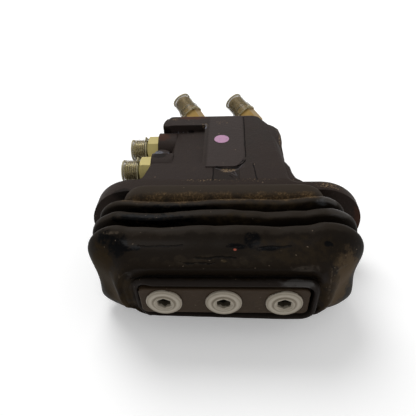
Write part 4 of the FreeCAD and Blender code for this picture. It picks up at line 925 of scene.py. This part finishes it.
def pink_paper():
    """A small round sticker, worn, with nothing on it."""
    paper = Finish("pink_paper", DOT_PINK, 0.6, Specular_IOR_Level=0.2)
    paper.tone("patches", DOT_FADED, 0.65, 0.8, Scale=420.0, Cover=0.48, Edge=0.15)
    paper.tone("specks", DOT_DIRT, 0.7, 0.6, Scale=900.0, Reach=0.25, Share=0.16)
    return paper.done()


FINISHES = {
    "casting": casting_paint(),
    "bar": bar_paint(),
    "rubber": boot_rubber(),
    "zinc": zinc_plate("yellow_zinc", YELLOW_ZINC, YELLOW_SHADE),
    "gold": zinc_plate("gold_zinc", GOLD_ZINC, GOLD_SHADE),
    "thread": thread_zinc(),
    "clear": clear_plastic(),
    "rim": rim_plastic(),
    "white": white_plastic(),
    "bright": plain_metal("ground_steel", GROUND_STEEL, 0.25),
    "dark": plain_metal("black_oxide", BLACK_OXIDE, 0.4),
    "spring": plain_metal("drawn_wire", DRAWN_WIRE, 0.35),
    "bronze": plain_metal("sintered_bronze", SINTERED_BRONZE, 0.4),
    "seal": seal_rubber(),
    "pink": pink_paper(),
}

# The finish of each material slot that the record names
NODE_FINISHES = {
    "black_casting": "casting",
    "dark_steel": "dark",
    "bright_steel": "bright",
    "spring_steel": "spring",
    "bronze": "bronze",
    "yellow_zinc": "zinc",
    "clear_plastic": "clear",
    "white_plastic": "white",
    "seal_rubber": "seal",
    "boot_rubber": "rubber",
}


def dress_nodes():
    """Every solid gets the finish of its slot, and the far fittings the warmer plating."""
    for subpart in frame["record"]["subparts"]:
        name = subpart["node"]
        finish = NODE_FINISHES[subpart["material_slot"]]
        if name == "pedal_rocker":
            finish = "bar"
        elif name.startswith("elbow") and finish == "zinc":
            finish = "gold"
        mesh = NODES[name].data
        mesh.materials.clear()
        mesh.materials.append(FINISHES[finish])


# Rounding of the cast edges, in millimetres, and the angles in degrees past which an edge is kept or rounded
CAST_ROUND = 0.8
WELD_GAP = 0.02
FLAT_ANGLE = 1.0
EDGE_ANGLE = 40.0


def round_casting():
    """Cast edges are round: a live bevel over the edges of the machined model."""
    node = NODES["valve_housing"]
    weld = node.modifiers.new("weld", "WELD")
    weld.merge_threshold = WELD_GAP * MM
    flat = node.modifiers.new("flat", "DECIMATE")
    flat.decimate_type = "DISSOLVE"
    flat.angle_limit = math.radians(FLAT_ANGLE)
    bevel = node.modifiers.new("round", "BEVEL")
    bevel.width = CAST_ROUND * MM
    bevel.segments = 3
    bevel.limit_method = "ANGLE"
    bevel.angle_limit = math.radians(EDGE_ANGLE)


# Rubber boot

# Sections of the boot from the bar to the bead: place along Y, half span, half height, top corner,
# bottom corner, rise and the crest whose wave they follow, in millimetres
COLLAR_RINGS = (
    (-57.5, 44.8, 12.2, 6.2, 5.6, 0.0, "lip"),
    (-69.3, 44.8, 12.3, 6.2, 5.6, 0.0, "lip"),
    (-70.4, 45.1, 12.7, 6.4, 6.0, 0.1, "lip"),
    (-70.8, 45.8, 13.4, 6.6, 6.4, 0.3, "lip"),
    (-70.5, 46.8, 14.4, 7.0, 7.0, 0.4, "lip"),
    (-69.2, 47.6, 15.0, 7.4, 7.4, 0.4, "lip"),
    (-67.4, 47.9, 15.0, 7.6, 7.6, 0.4, "lip"),
    (-65.8, 48.4, 14.4, 8.0, 8.0, 0.4, None),
    (-65.2, 49.0, 14.5, 8.6, 8.6, 0.6, None),
    (-65.6, 50.2, 15.8, 9.8, 10.0, 1.2, None),
    (-66.4, 51.4, 17.4, 11.4, 13.0, 2.0, None),
    (-67.0, 52.5, 18.6, 13.0, 15.0, 2.6, None),
    (-67.2, 53.6, 19.5, 14.0, 16.5, 2.8, None),
    (-66.8, 54.8, 20.5, 15.0, 18.0, 2.8, None),
    (-65.6, 56.4, 21.9, 16.0, 19.0, 2.4, None),
    (-63.6, 58.8, 23.6, 17.0, 19.0, 1.9, None),
    (-60.8, 61.8, 25.4, 18.0, 18.0, 1.2, None),
    (-57.5, 65.7, 27.6, 19.0, 16.0, 0.6, None),
    (-54.2, 69.6, 29.7, 20.0, 14.0, 0.0, "first"),
    (-51.4, 72.4, 31.2, 20.5, 13.0, 0.0, "first"),
    (-49.4, 73.9, 32.1, 21.0, 13.0, 0.0, "first"),
    (-47.8, 74.5, 32.6, 21.0, 13.0, 0.0, "first"),
    (-46.2, 74.4, 32.5, 21.0, 13.0, 0.0, "first"),
    (-45.0, 73.5, 31.8, 20.6, 13.0, 0.0, "first"),
    (-44.2, 71.4, 30.2, 19.6, 13.0, 0.0, "first"),
    (-43.6, 67.8, 27.2, 17.6, 12.0, 0.0, "first"),
    (-42.4, 63.6, 23.6, 15.0, 11.0, 0.0, None),
)
BEAD_RINGS = (
    (-21.0, 58.0, 28.8, 13.0, 13.0, 0.4, "bead"),
    (-20.4, 59.0, 30.8, 13.4, 14.0, 0.4, "bead"),
    (-19.0, 59.4, 31.8, 13.6, 14.0, 0.4, "bead"),
    (-15.4, 59.4, 32.1, 13.6, 14.0, 0.4, "bead"),
    (-12.4, 59.0, 31.8, 13.6, 14.0, 0.4, "bead"),
    (-11.4, 58.0, 31.0, 13.4, 14.0, 0.3, "bead"),
    (-11.3, 54.0, 27.4, 19.0, 16.0, 0.0, None),
    (-11.3, 52.6, 25.6, 18.0, 18.0, 0.0, None),
    (-22.4, 52.6, 25.6, 18.0, 18.0, 0.0, None),
    (-25.0, 58.0, 22.0, 14.0, 11.0, 0.0, None),
    (-28.0, 60.2, 18.4, 12.0, 10.0, 0.0, None),
    (-43.0, 60.2, 18.4, 12.0, 10.0, 0.0, None),
    (-50.0, 61.0, 22.0, 13.0, 10.0, 0.0, None),
    (-57.0, 56.0, 20.5, 12.0, 9.0, 0.4, None),
    (-60.5, 50.5, 16.4, 9.0, 8.0, 0.4, None),
    (-60.5, 47.0, 13.6, 6.0, 6.0, 0.2, None),
)

# The profile of a thin fold: place along Y from its crest, negative in front, and depth below it
FOLD_PROFILE = (
    (-4.3, 12.4), (-4.0, 10.0), (-3.7, 6.2), (-3.5, 3.2), (-3.2, 1.5), (-2.7, 0.75), (-1.9, 0.4), (-0.6, 0.1),
    (0.9, 0.0), (1.9, 0.35), (2.5, 1.3), (2.8, 3.2), (3.1, 6.0), (3.7, 9.5), (4.4, 12.0),
)

# The two thin folds: name, place of the crest along Y, half span and half height
THIN_FOLDS = (
    ("second", -35.5, 73.8, 31.5),
    ("third", -25.6, 70.6, 30.5),
)

# Radii of a thin fold's corners at its crest, and how much of the depth the height and the radii lose
FOLD_CORNER = 16.5
FOLD_UNDER_CORNER = 13.0
HEIGHT_LOSS = 0.95
CORNER_LOSS = 0.3
UNDER_CORNER_LOSS = 0.15

# The third fold is steeper in front, and from here back it comes down no lower than this to meet the bead
THIRD_FRONT = 0.72
THIRD_BACK = 2.6
THIRD_LOWEST = 27.5


def thin_fold(name, crest, half_span, half_height):
    """Rings over one of the two thin folds, from the valley in front of it to the valley behind."""
    rings = []
    for along, depth in FOLD_PROFILE:
        if name == "third" and along < 0:
            along *= THIRD_FRONT
        if name == "third" and along > THIRD_BACK:
            depth = min(depth, half_height - THIRD_LOWEST)
        rings.append((crest + along, half_span - depth, half_height - depth * HEIGHT_LOSS,
                      FOLD_CORNER - depth * CORNER_LOSS, FOLD_UNDER_CORNER - depth * UNDER_CORNER_LOSS,
                      0.0, name))
    return rings


def boot_rings():
    rings = list(COLLAR_RINGS)
    for fold in THIN_FOLDS:
        rings += thin_fold(*fold)
    return rings + list(BEAD_RINGS)


# How far each crest rises above or sags below its section, along X
CREST_LIFTS = {
    "first": ((-63, -0.1), (-56, -0.3), (-49, -1.9), (-41, -1.8), (-33, -2.5), (-23, -1.7), (-17, -0.9),
              (-10, -0.6), (-3.5, -1.2), (6, -0.6), (16, -1.1), (29, -2.0), (36, -1.3), (43, -1.0),
              (50, 1.2), (60, 1.2)),
    "second": ((-66, -1.6), (-57, -0.2), (-50, -1.2), (-43, -1.8), (-36, -2.0), (-29, -1.3),
               (-22, -0.4), (-10, 0.6), (-3, 0.7), (4, 0.8), (10, -0.2), (16, -0.4), (23, -1.4),
               (30, -1.1), (36, -0.4), (43, -0.6), (50, 0.9), (56, 1.2), (64, 0.4)),
    "third": ((-55, 0.4), (-43, -0.7), (-30, -1.2), (-18, -0.8), (-4, 0.5), (9, 0.8), (20, 0.4),
              (31, 0.0), (41, 1.0), (49, 2.3), (54, 2.4)),
    "bead": ((-60, 0.0), (60, 0.0)),
    "lip": ((-60, 0.0), (60, 0.0)),
}

# How far each crest lies off centre along X
CREST_SHIFTS = {"first": -0.5, "second": -1.0, "third": -2.4, "bead": -0.7, "lip": 0.7}

# A crest's lift fades out towards mid height below this height, and on sections lower than this half height
LIFT_HEIGHT = 20.0
LIFT_SECTION = 30.0

# The underside follows the wave of the top, turned round and this much as strong
UNDER_WAVE = -0.5

# How far the underside of the collar is pushed up, along X
COLLAR_UNDER = (
    (-56, 8.4), (-50, 7.4), (-46, 0.4), (-42, -1.2), (-37, 1.4), (-33, 1.6), (-22, 1.2), (-11, 0.8),
    (2, 0.3), (14, -0.2), (32, -0.7), (40, -0.4), (46, 0.0), (50, -0.7), (54, 3.4), (60, 4.2),
)

STRAIGHT_STEPS = 44
SIDE_STEPS = 10
CORNER_STEPS = 12
RING_POINTS = 2 * (STRAIGHT_STEPS - 1) + 2 * (SIDE_STEPS - 1) + 4 * (CORNER_STEPS + 1)


def lift_at(points, x):
    """Cosine run through a row of lifts along X."""
    if x <= points[0][0]:
        return points[0][1]
    for (x0, y0), (x1, y1) in zip(points, points[1:]):
        if x <= x1:
            share = (1 - math.cos(math.pi * (x - x0) / (x1 - x0))) / 2
            return y0 + (y1 - y0) * share
    return points[-1][1]


def ring_points(half_span, half_height, top, bottom, rise):
    """Points round a rounded rectangle, anticlockwise from the start of its top edge's right corner."""
    corners = []
    for x_sign, z_sign, start, radius in ((1, 1, 0, top), (-1, 1, 90, top), (-1, -1, 180, bottom),
                                          (1, -1, 270, bottom)):
        centre_x = x_sign * (half_span - radius)
        centre_z = z_sign * (half_height - radius) + rise
        angles = [math.radians(start + 90 * step / CORNER_STEPS) for step in range(CORNER_STEPS + 1)]
        corners.append([(centre_x + radius * math.cos(a), centre_z + radius * math.sin(a)) for a in angles])
    points = []
    sides = (STRAIGHT_STEPS, SIDE_STEPS, STRAIGHT_STEPS, SIDE_STEPS)
    for corner, following, steps in zip(corners, corners[1:] + corners[:1], sides):
        x0, z0 = corner[-1]
        x1, z1 = following[0]
        points += corner
        points += [(x0 + (x1 - x0) * step / steps, z0 + (z1 - z0) * step / steps) for step in range(1, steps)]
    return points


def bulge(value, centre, width):
    """A smooth hump of height 1 over a stretch."""
    share = (value - centre) / width
    return math.exp(-share * share)


def grown(value, start, run):
    """0 up to a start, 1 a run further on, and even between."""
    return min(1.0, max(0.0, (value - start) / run))


# Pinches of the boot's sides: side, depth, and the centre and width of the pinch along Z and along Y
PINCH_FROM = 55.0
SIDE_PINCHES = (
    (-1, 1.6, (-10.0, 13.0), (-50.0, 11.0)),
    (-1, 1.4, (-6.0, 8.0), (-58.0, 6.0)),
    (-1, 1.0, (4.0, 12.0), (-54.0, 12.0)),
    (1, 1.9, (-1.0, 12.0), (-50.0, 11.0)),
    (1, 1.4, (-4.0, 8.0), (-58.0, 6.0)),
)

# The underside, below this height, is pressed flatter over these runs: start along Y and length
UNDER_TOP = -8.0
UNDER_FLATTER = 0.18
UNDER_RUN = (46.0, 6.0)
LIP_RUN = (-67.5, 1.5)

# Its corners sag: depth, and centre and width along X. In front of the lip's start less of a sag stays
UNDER_SAGS = ((1.7, (-56.0, 5.5)), (1.3, (63.0, 6.0)))
LIP_START = -64.0
LIP_SAG = 0.4

# Where the lift of the collar's underside sets in: start and run downwards, and forwards
UNDER_LIFT_DOWN = (10.0, 4.0)
UNDER_LIFT_FORWARD = (62.0, 3.0)

# The crevice's ends lie further forward, and the lip is set back on the left: stretch along Y, how far,
# and the start and run of it along X
CREVICE_STRETCH = (-67.3, -64.8)
CREVICE_FORWARD = 1.7
CREVICE_RUN = (44.0, 5.0)
LIP_FRONT = -68.5
LIP_BACK = 2.3
LIP_LEFT_RUN = (36.0, 8.0)

# Where knocks reach along Y: centre and width. In front of the second place only the upper half takes them
COLLAR_FRONT = (-54.0, 9.0)
KNOCK_BACK = -60.0

# Knocks in the collar's top edge: centre and width along X and along Z, and the push inwards and down
COLLAR_KNOCKS = (
    ((-55.0, 8.0), (24.0, 6.0), 1.3, 0.0),
    ((14.0, 6.0), (28.0, 2.4), 1.8, 0.6),
    ((24.0, 9.0), (27.0, 1.2), 1.2, 0.0),
)


def pressed_under(x, y, z):
    """The height of a point after the underside is flattened, sagged and pushed up."""
    if z < UNDER_TOP:
        near = grown(-y, *UNDER_RUN)
        z += (UNDER_TOP - z) * UNDER_FLATTER * near * grown(y, *LIP_RUN)
        sag = sum(depth * bulge(x, *along_x) for depth, along_x in UNDER_SAGS)
        z -= sag * near * (1 if y > LIP_START else LIP_SAG)
    return z + lift_at(COLLAR_UNDER, x) * grown(-z, *UNDER_LIFT_DOWN) * grown(-y, *UNDER_LIFT_FORWARD)


def pressed(x, y, z):
    """Dents, pinched sides and sagging corners that the rubber has taken."""
    front = bulge(y, *COLLAR_FRONT)
    side = math.copysign(1, x)
    pinched = abs(x) > PINCH_FROM
    for pinch_side, depth, along_z, along_y in SIDE_PINCHES:
        if pinched and side == pinch_side:
            x -= side * depth * bulge(z, *along_z) * bulge(y, *along_y)
    z = pressed_under(x, y, z)
    if CREVICE_STRETCH[0] < y < CREVICE_STRETCH[1]:
        y -= CREVICE_FORWARD * grown(abs(x), *CREVICE_RUN)
    if y < LIP_FRONT:
        y += LIP_BACK * grown(-x, *LIP_LEFT_RUN)
    if z > 0 or y > KNOCK_BACK:
        for along_x, along_z, inwards, down in COLLAR_KNOCKS:
            knock = bulge(x, *along_x) * bulge(z, *along_z) * front
            y += inwards * knock
            z -= down * knock
    return x, y, z


# Radius of the ring that the boot is extruded from, before each copy gets its section
START_RADIUS = 50.0


def rubber_boot():
    """The bellows: a ring extruded from fold to fold, brought to its sections and pressed out of true."""
    boot = started("boot_skin", bpy.ops.mesh.primitive_circle_add, vertices=RING_POINTS,
                   radius=START_RADIUS * MM, rotation=(math.pi / 2, 0, 0))
    edit_all()
    sections = boot_rings()
    for _ in sections[1:]:
        bpy.ops.mesh.extrude_region_move(TRANSFORM_OT_translate={"value": (0, MM, 0)})
    bpy.ops.mesh.select_all(action="DESELECT")
    bpy.ops.object.mode_set(mode="OBJECT")
    bpy.ops.object.transform_apply(rotation=True)
    vertices = boot.data.vertices
    low = min(vertex.co.y for vertex in vertices)
    rings = {}
    for vertex in vertices:
        rings.setdefault(round((vertex.co.y - low) / MM), []).append(vertex)
    for place, (y, half_span, half_height, top, bottom, rise, crest) in enumerate(sections):
        ring = sorted(rings[place], key=lambda v: math.atan2(v.co.z, v.co.x) % (2 * math.pi))
        for vertex, (x, z) in zip(ring, ring_points(half_span, half_height, top, bottom, rise)):
            if crest:
                x += CREST_SHIFTS[crest]
                share = min(1.0, abs(z) / LIFT_HEIGHT) * min(1.0, half_height / LIFT_SECTION)
                lifts = CREST_LIFTS[crest]
                z += lift_at(lifts, x) * share if z > 0 else UNDER_WAVE * lift_at(lifts, -x) * share
            vertex.co = Vector(pressed(x, y, z)) * MM
    only(boot)
    bpy.ops.object.mode_set(mode="EDIT")
    bpy.ops.mesh.select_mode(type="EDGE")
    bpy.ops.mesh.select_all(action="DESELECT")
    bpy.ops.mesh.select_non_manifold()
    bpy.ops.mesh.bridge_edge_loops()
    bpy.ops.object.mode_set(mode="OBJECT")
    modified(boot, "SUBSURF", levels=1, render_levels=1)
    finished(boot, None, FINISHES["rubber"], angle=60)
    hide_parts("rubber_boot")
    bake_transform(boot)


# Threads and caps of the four unions, in millimetres

THREAD_PITCH = 1.41
THREAD_ROOT = 6.82
THREAD_CREST = 7.37
THREAD_STEPS = 36
THREAD_END = 0.9
NOSE_LENGTH = 2.4
CAP_WALL = 0.7
CAP_END_GAP = 0.3
CAP_RIM_RADIUS = 8.55
CAP_RIM_THICKNESS = 0.5
CAP_EDGE_RADIUS = 7.4
CAP_EDGE_THICKNESS = 0.75
SKIRT_RADIUS = 9.0
SKIRT_WALL = 0.5
SKIRT_OVERLAP = 1.0
LOOP_RADIUS = 1.9
LOOP_THICKNESS = 0.5
LOOP_FLATNESS = 0.8
LOOP_PLACE = 9.4

# Corners of a thread ridge: radius, and height as a share of the pitch
THREAD_PROFILE = ((THREAD_ROOT, 0.0), (THREAD_ROOT, 0.98), (THREAD_CREST, 0.62), (THREAD_CREST, 0.38))

# Port, label, length of the solid's cap and length of the mouth that is added to it
UNIONS = (
    ("tank_port", "tank", 12.0, 0.0),
    ("pressure_port", "pressure", 12.0, 0.0),
    ("work_port_left", "elbow_left", 13.6, 5.6),
    ("work_port_right", "elbow_right", 13.6, 5.6),
)


def port_frame(name, along=0.0, up=0.0):
    """A matrix whose Z leaves the port, with its X as level as it can be, from the union's tip."""
    mount = MOUNTS[name]
    out = Vector(mount["axis"]).normalized()
    level = out.cross(Vector((0, 0, 1))).normalized()
    turn = Matrix((level, level.cross(out), -out)).transposed().to_4x4() @ Matrix.Rotation(math.pi, 4, "X")
    shift = Matrix.Translation((0, up * MM, along * MM))
    return Matrix.Translation(Vector(mount["pos_m"])) @ turn @ shift


def union_thread(port, label, cap_length):
    """Thread ridges on the plain cylinder of a union: a profile turned into a screw, ending near the nose."""
    length = cap_length - CAP_WALL - CAP_END_GAP - NOSE_LENGTH
    turns = int(length / THREAD_PITCH)
    thread = started(label + "_thread", bpy.ops.mesh.primitive_plane_add, size=1.0)
    edit_all()
    bpy.ops.mesh.delete(type="ONLY_FACE")
    bpy.ops.object.mode_set(mode="OBJECT")
    corners = sorted(thread.data.vertices, key=lambda v: math.atan2(v.co.y, v.co.x))
    for corner, (radius, share) in zip(corners, THREAD_PROFILE):
        corner.co = Vector((radius, 0, THREAD_PITCH * share)) * MM
    modified(thread, "SCREW", angle=2 * math.pi, screw_offset=THREAD_PITCH * MM, iterations=turns,
             steps=THREAD_STEPS, render_steps=THREAD_STEPS, use_merge_vertices=False)
    start = -NOSE_LENGTH - (turns + THREAD_END) * THREAD_PITCH
    thread.data.transform(port_frame(port, start))
    finished(thread, "housing", FINISHES["thread"], angle=20)


def cap_ring(port, name, radius, thickness, along):
    """A thick milky ring of a cap."""
    ring = started(name, bpy.ops.mesh.primitive_torus_add, major_radius=radius * MM,
                   minor_radius=thickness * MM, major_segments=64, minor_segments=8)
    ring.data.transform(port_frame(port, along))
    finished(ring, "housing", FINISHES["rim"], angle=60)


def cap_skirt(port, label, start, length):
    """The longer, flared mouth of an elbow's cap: a tube from inside the cap to past the hexagon's edge."""
    skirt = started(label + "_cap_skirt", bpy.ops.mesh.primitive_cylinder_add, vertices=64, radius=1.0,
                    depth=1.0, end_fill_type="NOTHING")
    for vertex in skirt.data.vertices:
        mouth = vertex.co.z < 0
        radius = SKIRT_RADIUS if mouth else CAP_EDGE_RADIUS + CAP_EDGE_THICKNESS
        along = start - length if mouth else start + SKIRT_OVERLAP
        across = Vector((vertex.co.x, vertex.co.y, 0)).normalized() * radius
        vertex.co = (across + Vector((0, 0, along))) * MM
    modified(skirt, "SOLIDIFY", thickness=SKIRT_WALL * MM, offset=1.0)
    skirt.data.transform(port_frame(port))
    finished(skirt, "housing", FINISHES["clear"], angle=40)


def cap_loop(port, label, along):
    """The small pull loop that stands on a cap's rim."""
    loop = started(label + "_cap_loop", bpy.ops.mesh.primitive_torus_add, major_radius=LOOP_RADIUS * MM,
                   minor_radius=LOOP_THICKNESS * MM, major_segments=28, minor_segments=10,
                   rotation=(0, math.pi / 2, 0))
    bpy.ops.object.transform_apply(rotation=True)
    for vertex in loop.data.vertices:
        vertex.co = Vector((vertex.co.z, vertex.co.y * LOOP_FLATNESS, vertex.co.x))
    loop.data.transform(port_frame(port, along, -LOOP_PLACE))
    finished(loop, "housing", FINISHES["rim"], angle=60)


def cap_trim(port, label, cap_length, skirt_length):
    """The mouth, the rim, the edge of the closed end and the loop of a cap."""
    mouth = CAP_RIM_THICKNESS + CAP_WALL + CAP_END_GAP - cap_length
    radius = CAP_RIM_RADIUS
    if skirt_length:
        cap_skirt(port, label, mouth, skirt_length)
        mouth -= skirt_length
        radius = SKIRT_RADIUS
    cap_ring(port, label + "_cap_rim", radius, CAP_RIM_THICKNESS, mouth)
    cap_ring(port, label + "_cap_edge", CAP_EDGE_RADIUS, CAP_EDGE_THICKNESS, CAP_END_GAP)
    cap_loop(port, label, mouth)


# Swells of the casting: name, outline in plan, bottom, top and edge rounding, in millimetres

CAST_SWELLS = (
    ("side_fillet", ((36.5, 24.0), (39.4, 19.0), (41.4, 14.0), (42.0, 8.0), (43.6, 2.5), (47.5, -1.0),
                     (47.5, -3.0), (36.5, -3.0)), -18.0, 25.9, 1.6),
    ("wall_end", ((-39.5, 67.2), (-46.3, 67.2), (-46.6, 71.0), (-46.1, 75.0), (-44.6, 79.0), (-39.5, 79.2)),
     8.0, 26.4, 1.2),
    ("boss_swell", ((-38.5, 31.0), (-49.8, 31.0), (-50.2, 37.0), (-48.6, 41.0), (-45.5, 43.2), (-42.0, 42.8),
                    (-38.5, 41.0)), 8.0, 21.9, 1.4),
    ("lobe_swell", ((28.0, 73.0), (29.0, 79.4), (33.8, 79.6), (37.0, 76.4), (39.9, 72.0), (41.1, 63.0),
                    (41.0, 54.7), (40.0, 46.6), (36.5, 40.0), (34.0, 60.0)), -14.0, 20.2, 1.6),
)


def cast_swell(name, outline, low, high, edge):
    """A small swell of the casting: an outline in plan raised to its top, with round edges."""
    swell = started(name, bpy.ops.mesh.primitive_circle_add, vertices=len(outline), radius=1.0,
                    fill_type="NGON")
    for vertex, (x, y) in zip(swell.data.vertices, outline):
        vertex.co = Vector((x, y, low)) * MM
    edit_all()
    bpy.ops.mesh.extrude_region_move(TRANSFORM_OT_translate={"value": (0, 0, (high - low) * MM)})
    bpy.ops.mesh.select_all(action="SELECT")
    bpy.ops.mesh.normals_make_consistent(inside=False)
    bpy.ops.object.mode_set(mode="OBJECT")
    modified(swell, "BEVEL", width=edge * MM, segments=3, limit_method="ANGLE")
    finished(swell, "housing", FINISHES["casting"], angle=50)


# Sticker on the raised pad, in millimetres

DOT_PLACE = (-2.2, 45.5)
DOT_RADIUS = 5.1
DOT_THICKNESS = 0.16
DOT_LIFT = 0.07
DOT_RIM = 0.35
DOT_CROWN = 0.03


def paint_dot():
    """A thin round sticker, raised a little inside its rim."""
    place = Vector((*DOT_PLACE, DOT_LIFT)) * MM + Vector((0, 0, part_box("valve_housing")[1].z))
    dot = started("paint_dot", bpy.ops.mesh.primitive_cylinder_add, vertices=64, radius=DOT_RADIUS * MM,
                  depth=DOT_THICKNESS * MM, location=place)
    choose_faces(dot, lambda normal: normal.z > 0.9)
    bpy.ops.mesh.inset(thickness=DOT_RIM * MM)
    bpy.ops.transform.translate(value=(0, 0, DOT_CROWN * MM))
    finished(dot, "housing", FINISHES["pink"], angle=30)


# Stage

# The sky's strength on the part, and how much more the camera and mirror-like faces see of it
SKY_STRENGTH = 0.44
SKY_SEEN = 0.56

# The floor's width in metres, its gap below the part in millimetres, its shade and the glow that is seen
FLOOR_WIDTH = 6.0
FLOOR_GAP = 0.2
FLOOR_SHADE = 0.9
FLOOR_GLOW = 0.25

# Lamps that aim at the origin: name, place and diameter in metres, and power
LAMPS = (
    ("key", (-0.25, 0.45, 0.95), 0.6, 6.5),
    ("fill", (0.8, -0.3, 0.7), 0.8, 1.2),
)


def world_light():
    world = bpy.data.worlds.new("studio")
    bpy.context.scene.world = world
    world.use_nodes = True
    tree = world.node_tree
    sky = tree.nodes["Background"]
    sky.inputs["Color"].default_value = (1, 1, 1, 1)
    path = add(tree, "ShaderNodeLightPath").outputs
    mirrored = number(tree, "MAXIMUM", path["Is Glossy Ray"], path["Is Transmission Ray"])
    seen = number(tree, "MAXIMUM", path["Is Camera Ray"], mirrored)
    strength = number(tree, "ADD", number(tree, "MULTIPLY", seen, SKY_SEEN), SKY_STRENGTH)
    tree.links.new(strength, sky.inputs["Strength"])


def lamp(name, place, diameter, power):
    data = bpy.data.lights.new(name, "AREA")
    data.shape = "DISK"
    data.size = diameter
    data.energy = power
    light = bpy.data.objects.new(name, data)
    bpy.context.scene.collection.objects.link(light)
    light.location = place
    light.rotation_mode = "QUATERNION"
    light.rotation_quaternion = (-Vector(place)).to_track_quat("-Z", "Y")


def floor():
    """The white ground, tilted because the CAD frame is: the part lies on its fold and its body's edge."""
    run = BODY_REST - FOLD_REST
    place = FOLD_REST - Vector((0, 0, FLOOR_GAP)) * MM
    ground = started("floor", bpy.ops.mesh.primitive_plane_add, size=FLOOR_WIDTH, location=place,
                     rotation=(math.atan2(run.z, run.y), 0, 0))
    white = Finish("floor_white", (FLOOR_SHADE, FLOOR_SHADE, FLOOR_SHADE), FLOOR_SHADE)
    path = add(white.tree, "ShaderNodeLightPath").outputs
    seen = number(white.tree, "MAXIMUM", path["Is Camera Ray"], path["Is Glossy Ray"])
    white.shader.inputs["Emission Color"].default_value = (1, 1, 1, 1)
    white.tree.links.new(white.times(seen, FLOOR_GLOW), white.shader.inputs["Emission Strength"])
    ground.data.materials.append(white.done())


def camera():
    """The photograph's viewpoint: above the pedal bar, looking down along the valve."""
    data = bpy.data.cameras.new("camera")
    data.sensor_width = 36.0
    data.lens = CAMERA_LENS
    data.clip_start = 0.01
    eye = bpy.data.objects.new("camera", data)
    bpy.context.scene.collection.objects.link(eye)
    level = math.cos(CAMERA_PITCH)
    look = Vector((math.sin(CAMERA_YAW) * level, math.cos(CAMERA_YAW) * level, -math.sin(CAMERA_PITCH)))
    right = Vector((math.cos(CAMERA_YAW), -math.sin(CAMERA_YAW), 0))
    turn = Matrix((right, right.cross(look), -look)).transposed().to_4x4()
    eye.matrix_world = Matrix.Translation(CAMERA_PLACE) @ turn @ Matrix.Rotation(CAMERA_ROLL, 4, "Z")
    bpy.context.scene.camera = eye


dress_nodes()
round_casting()
rubber_boot()
for port, label, cap_length, skirt_length in UNIONS:
    union_thread(port, label, cap_length)
    cap_trim(port, label, cap_length, skirt_length)
for name, outline, low, high, edge in CAST_SWELLS:
    cast_swell(name, outline, low, high, edge)
paint_dot()
floor()
world_light()
for name, place, diameter, power in LAMPS:
    lamp(name, place, diameter, power)
camera()
bpy.context.scene.view_settings.view_transform = "Standard"
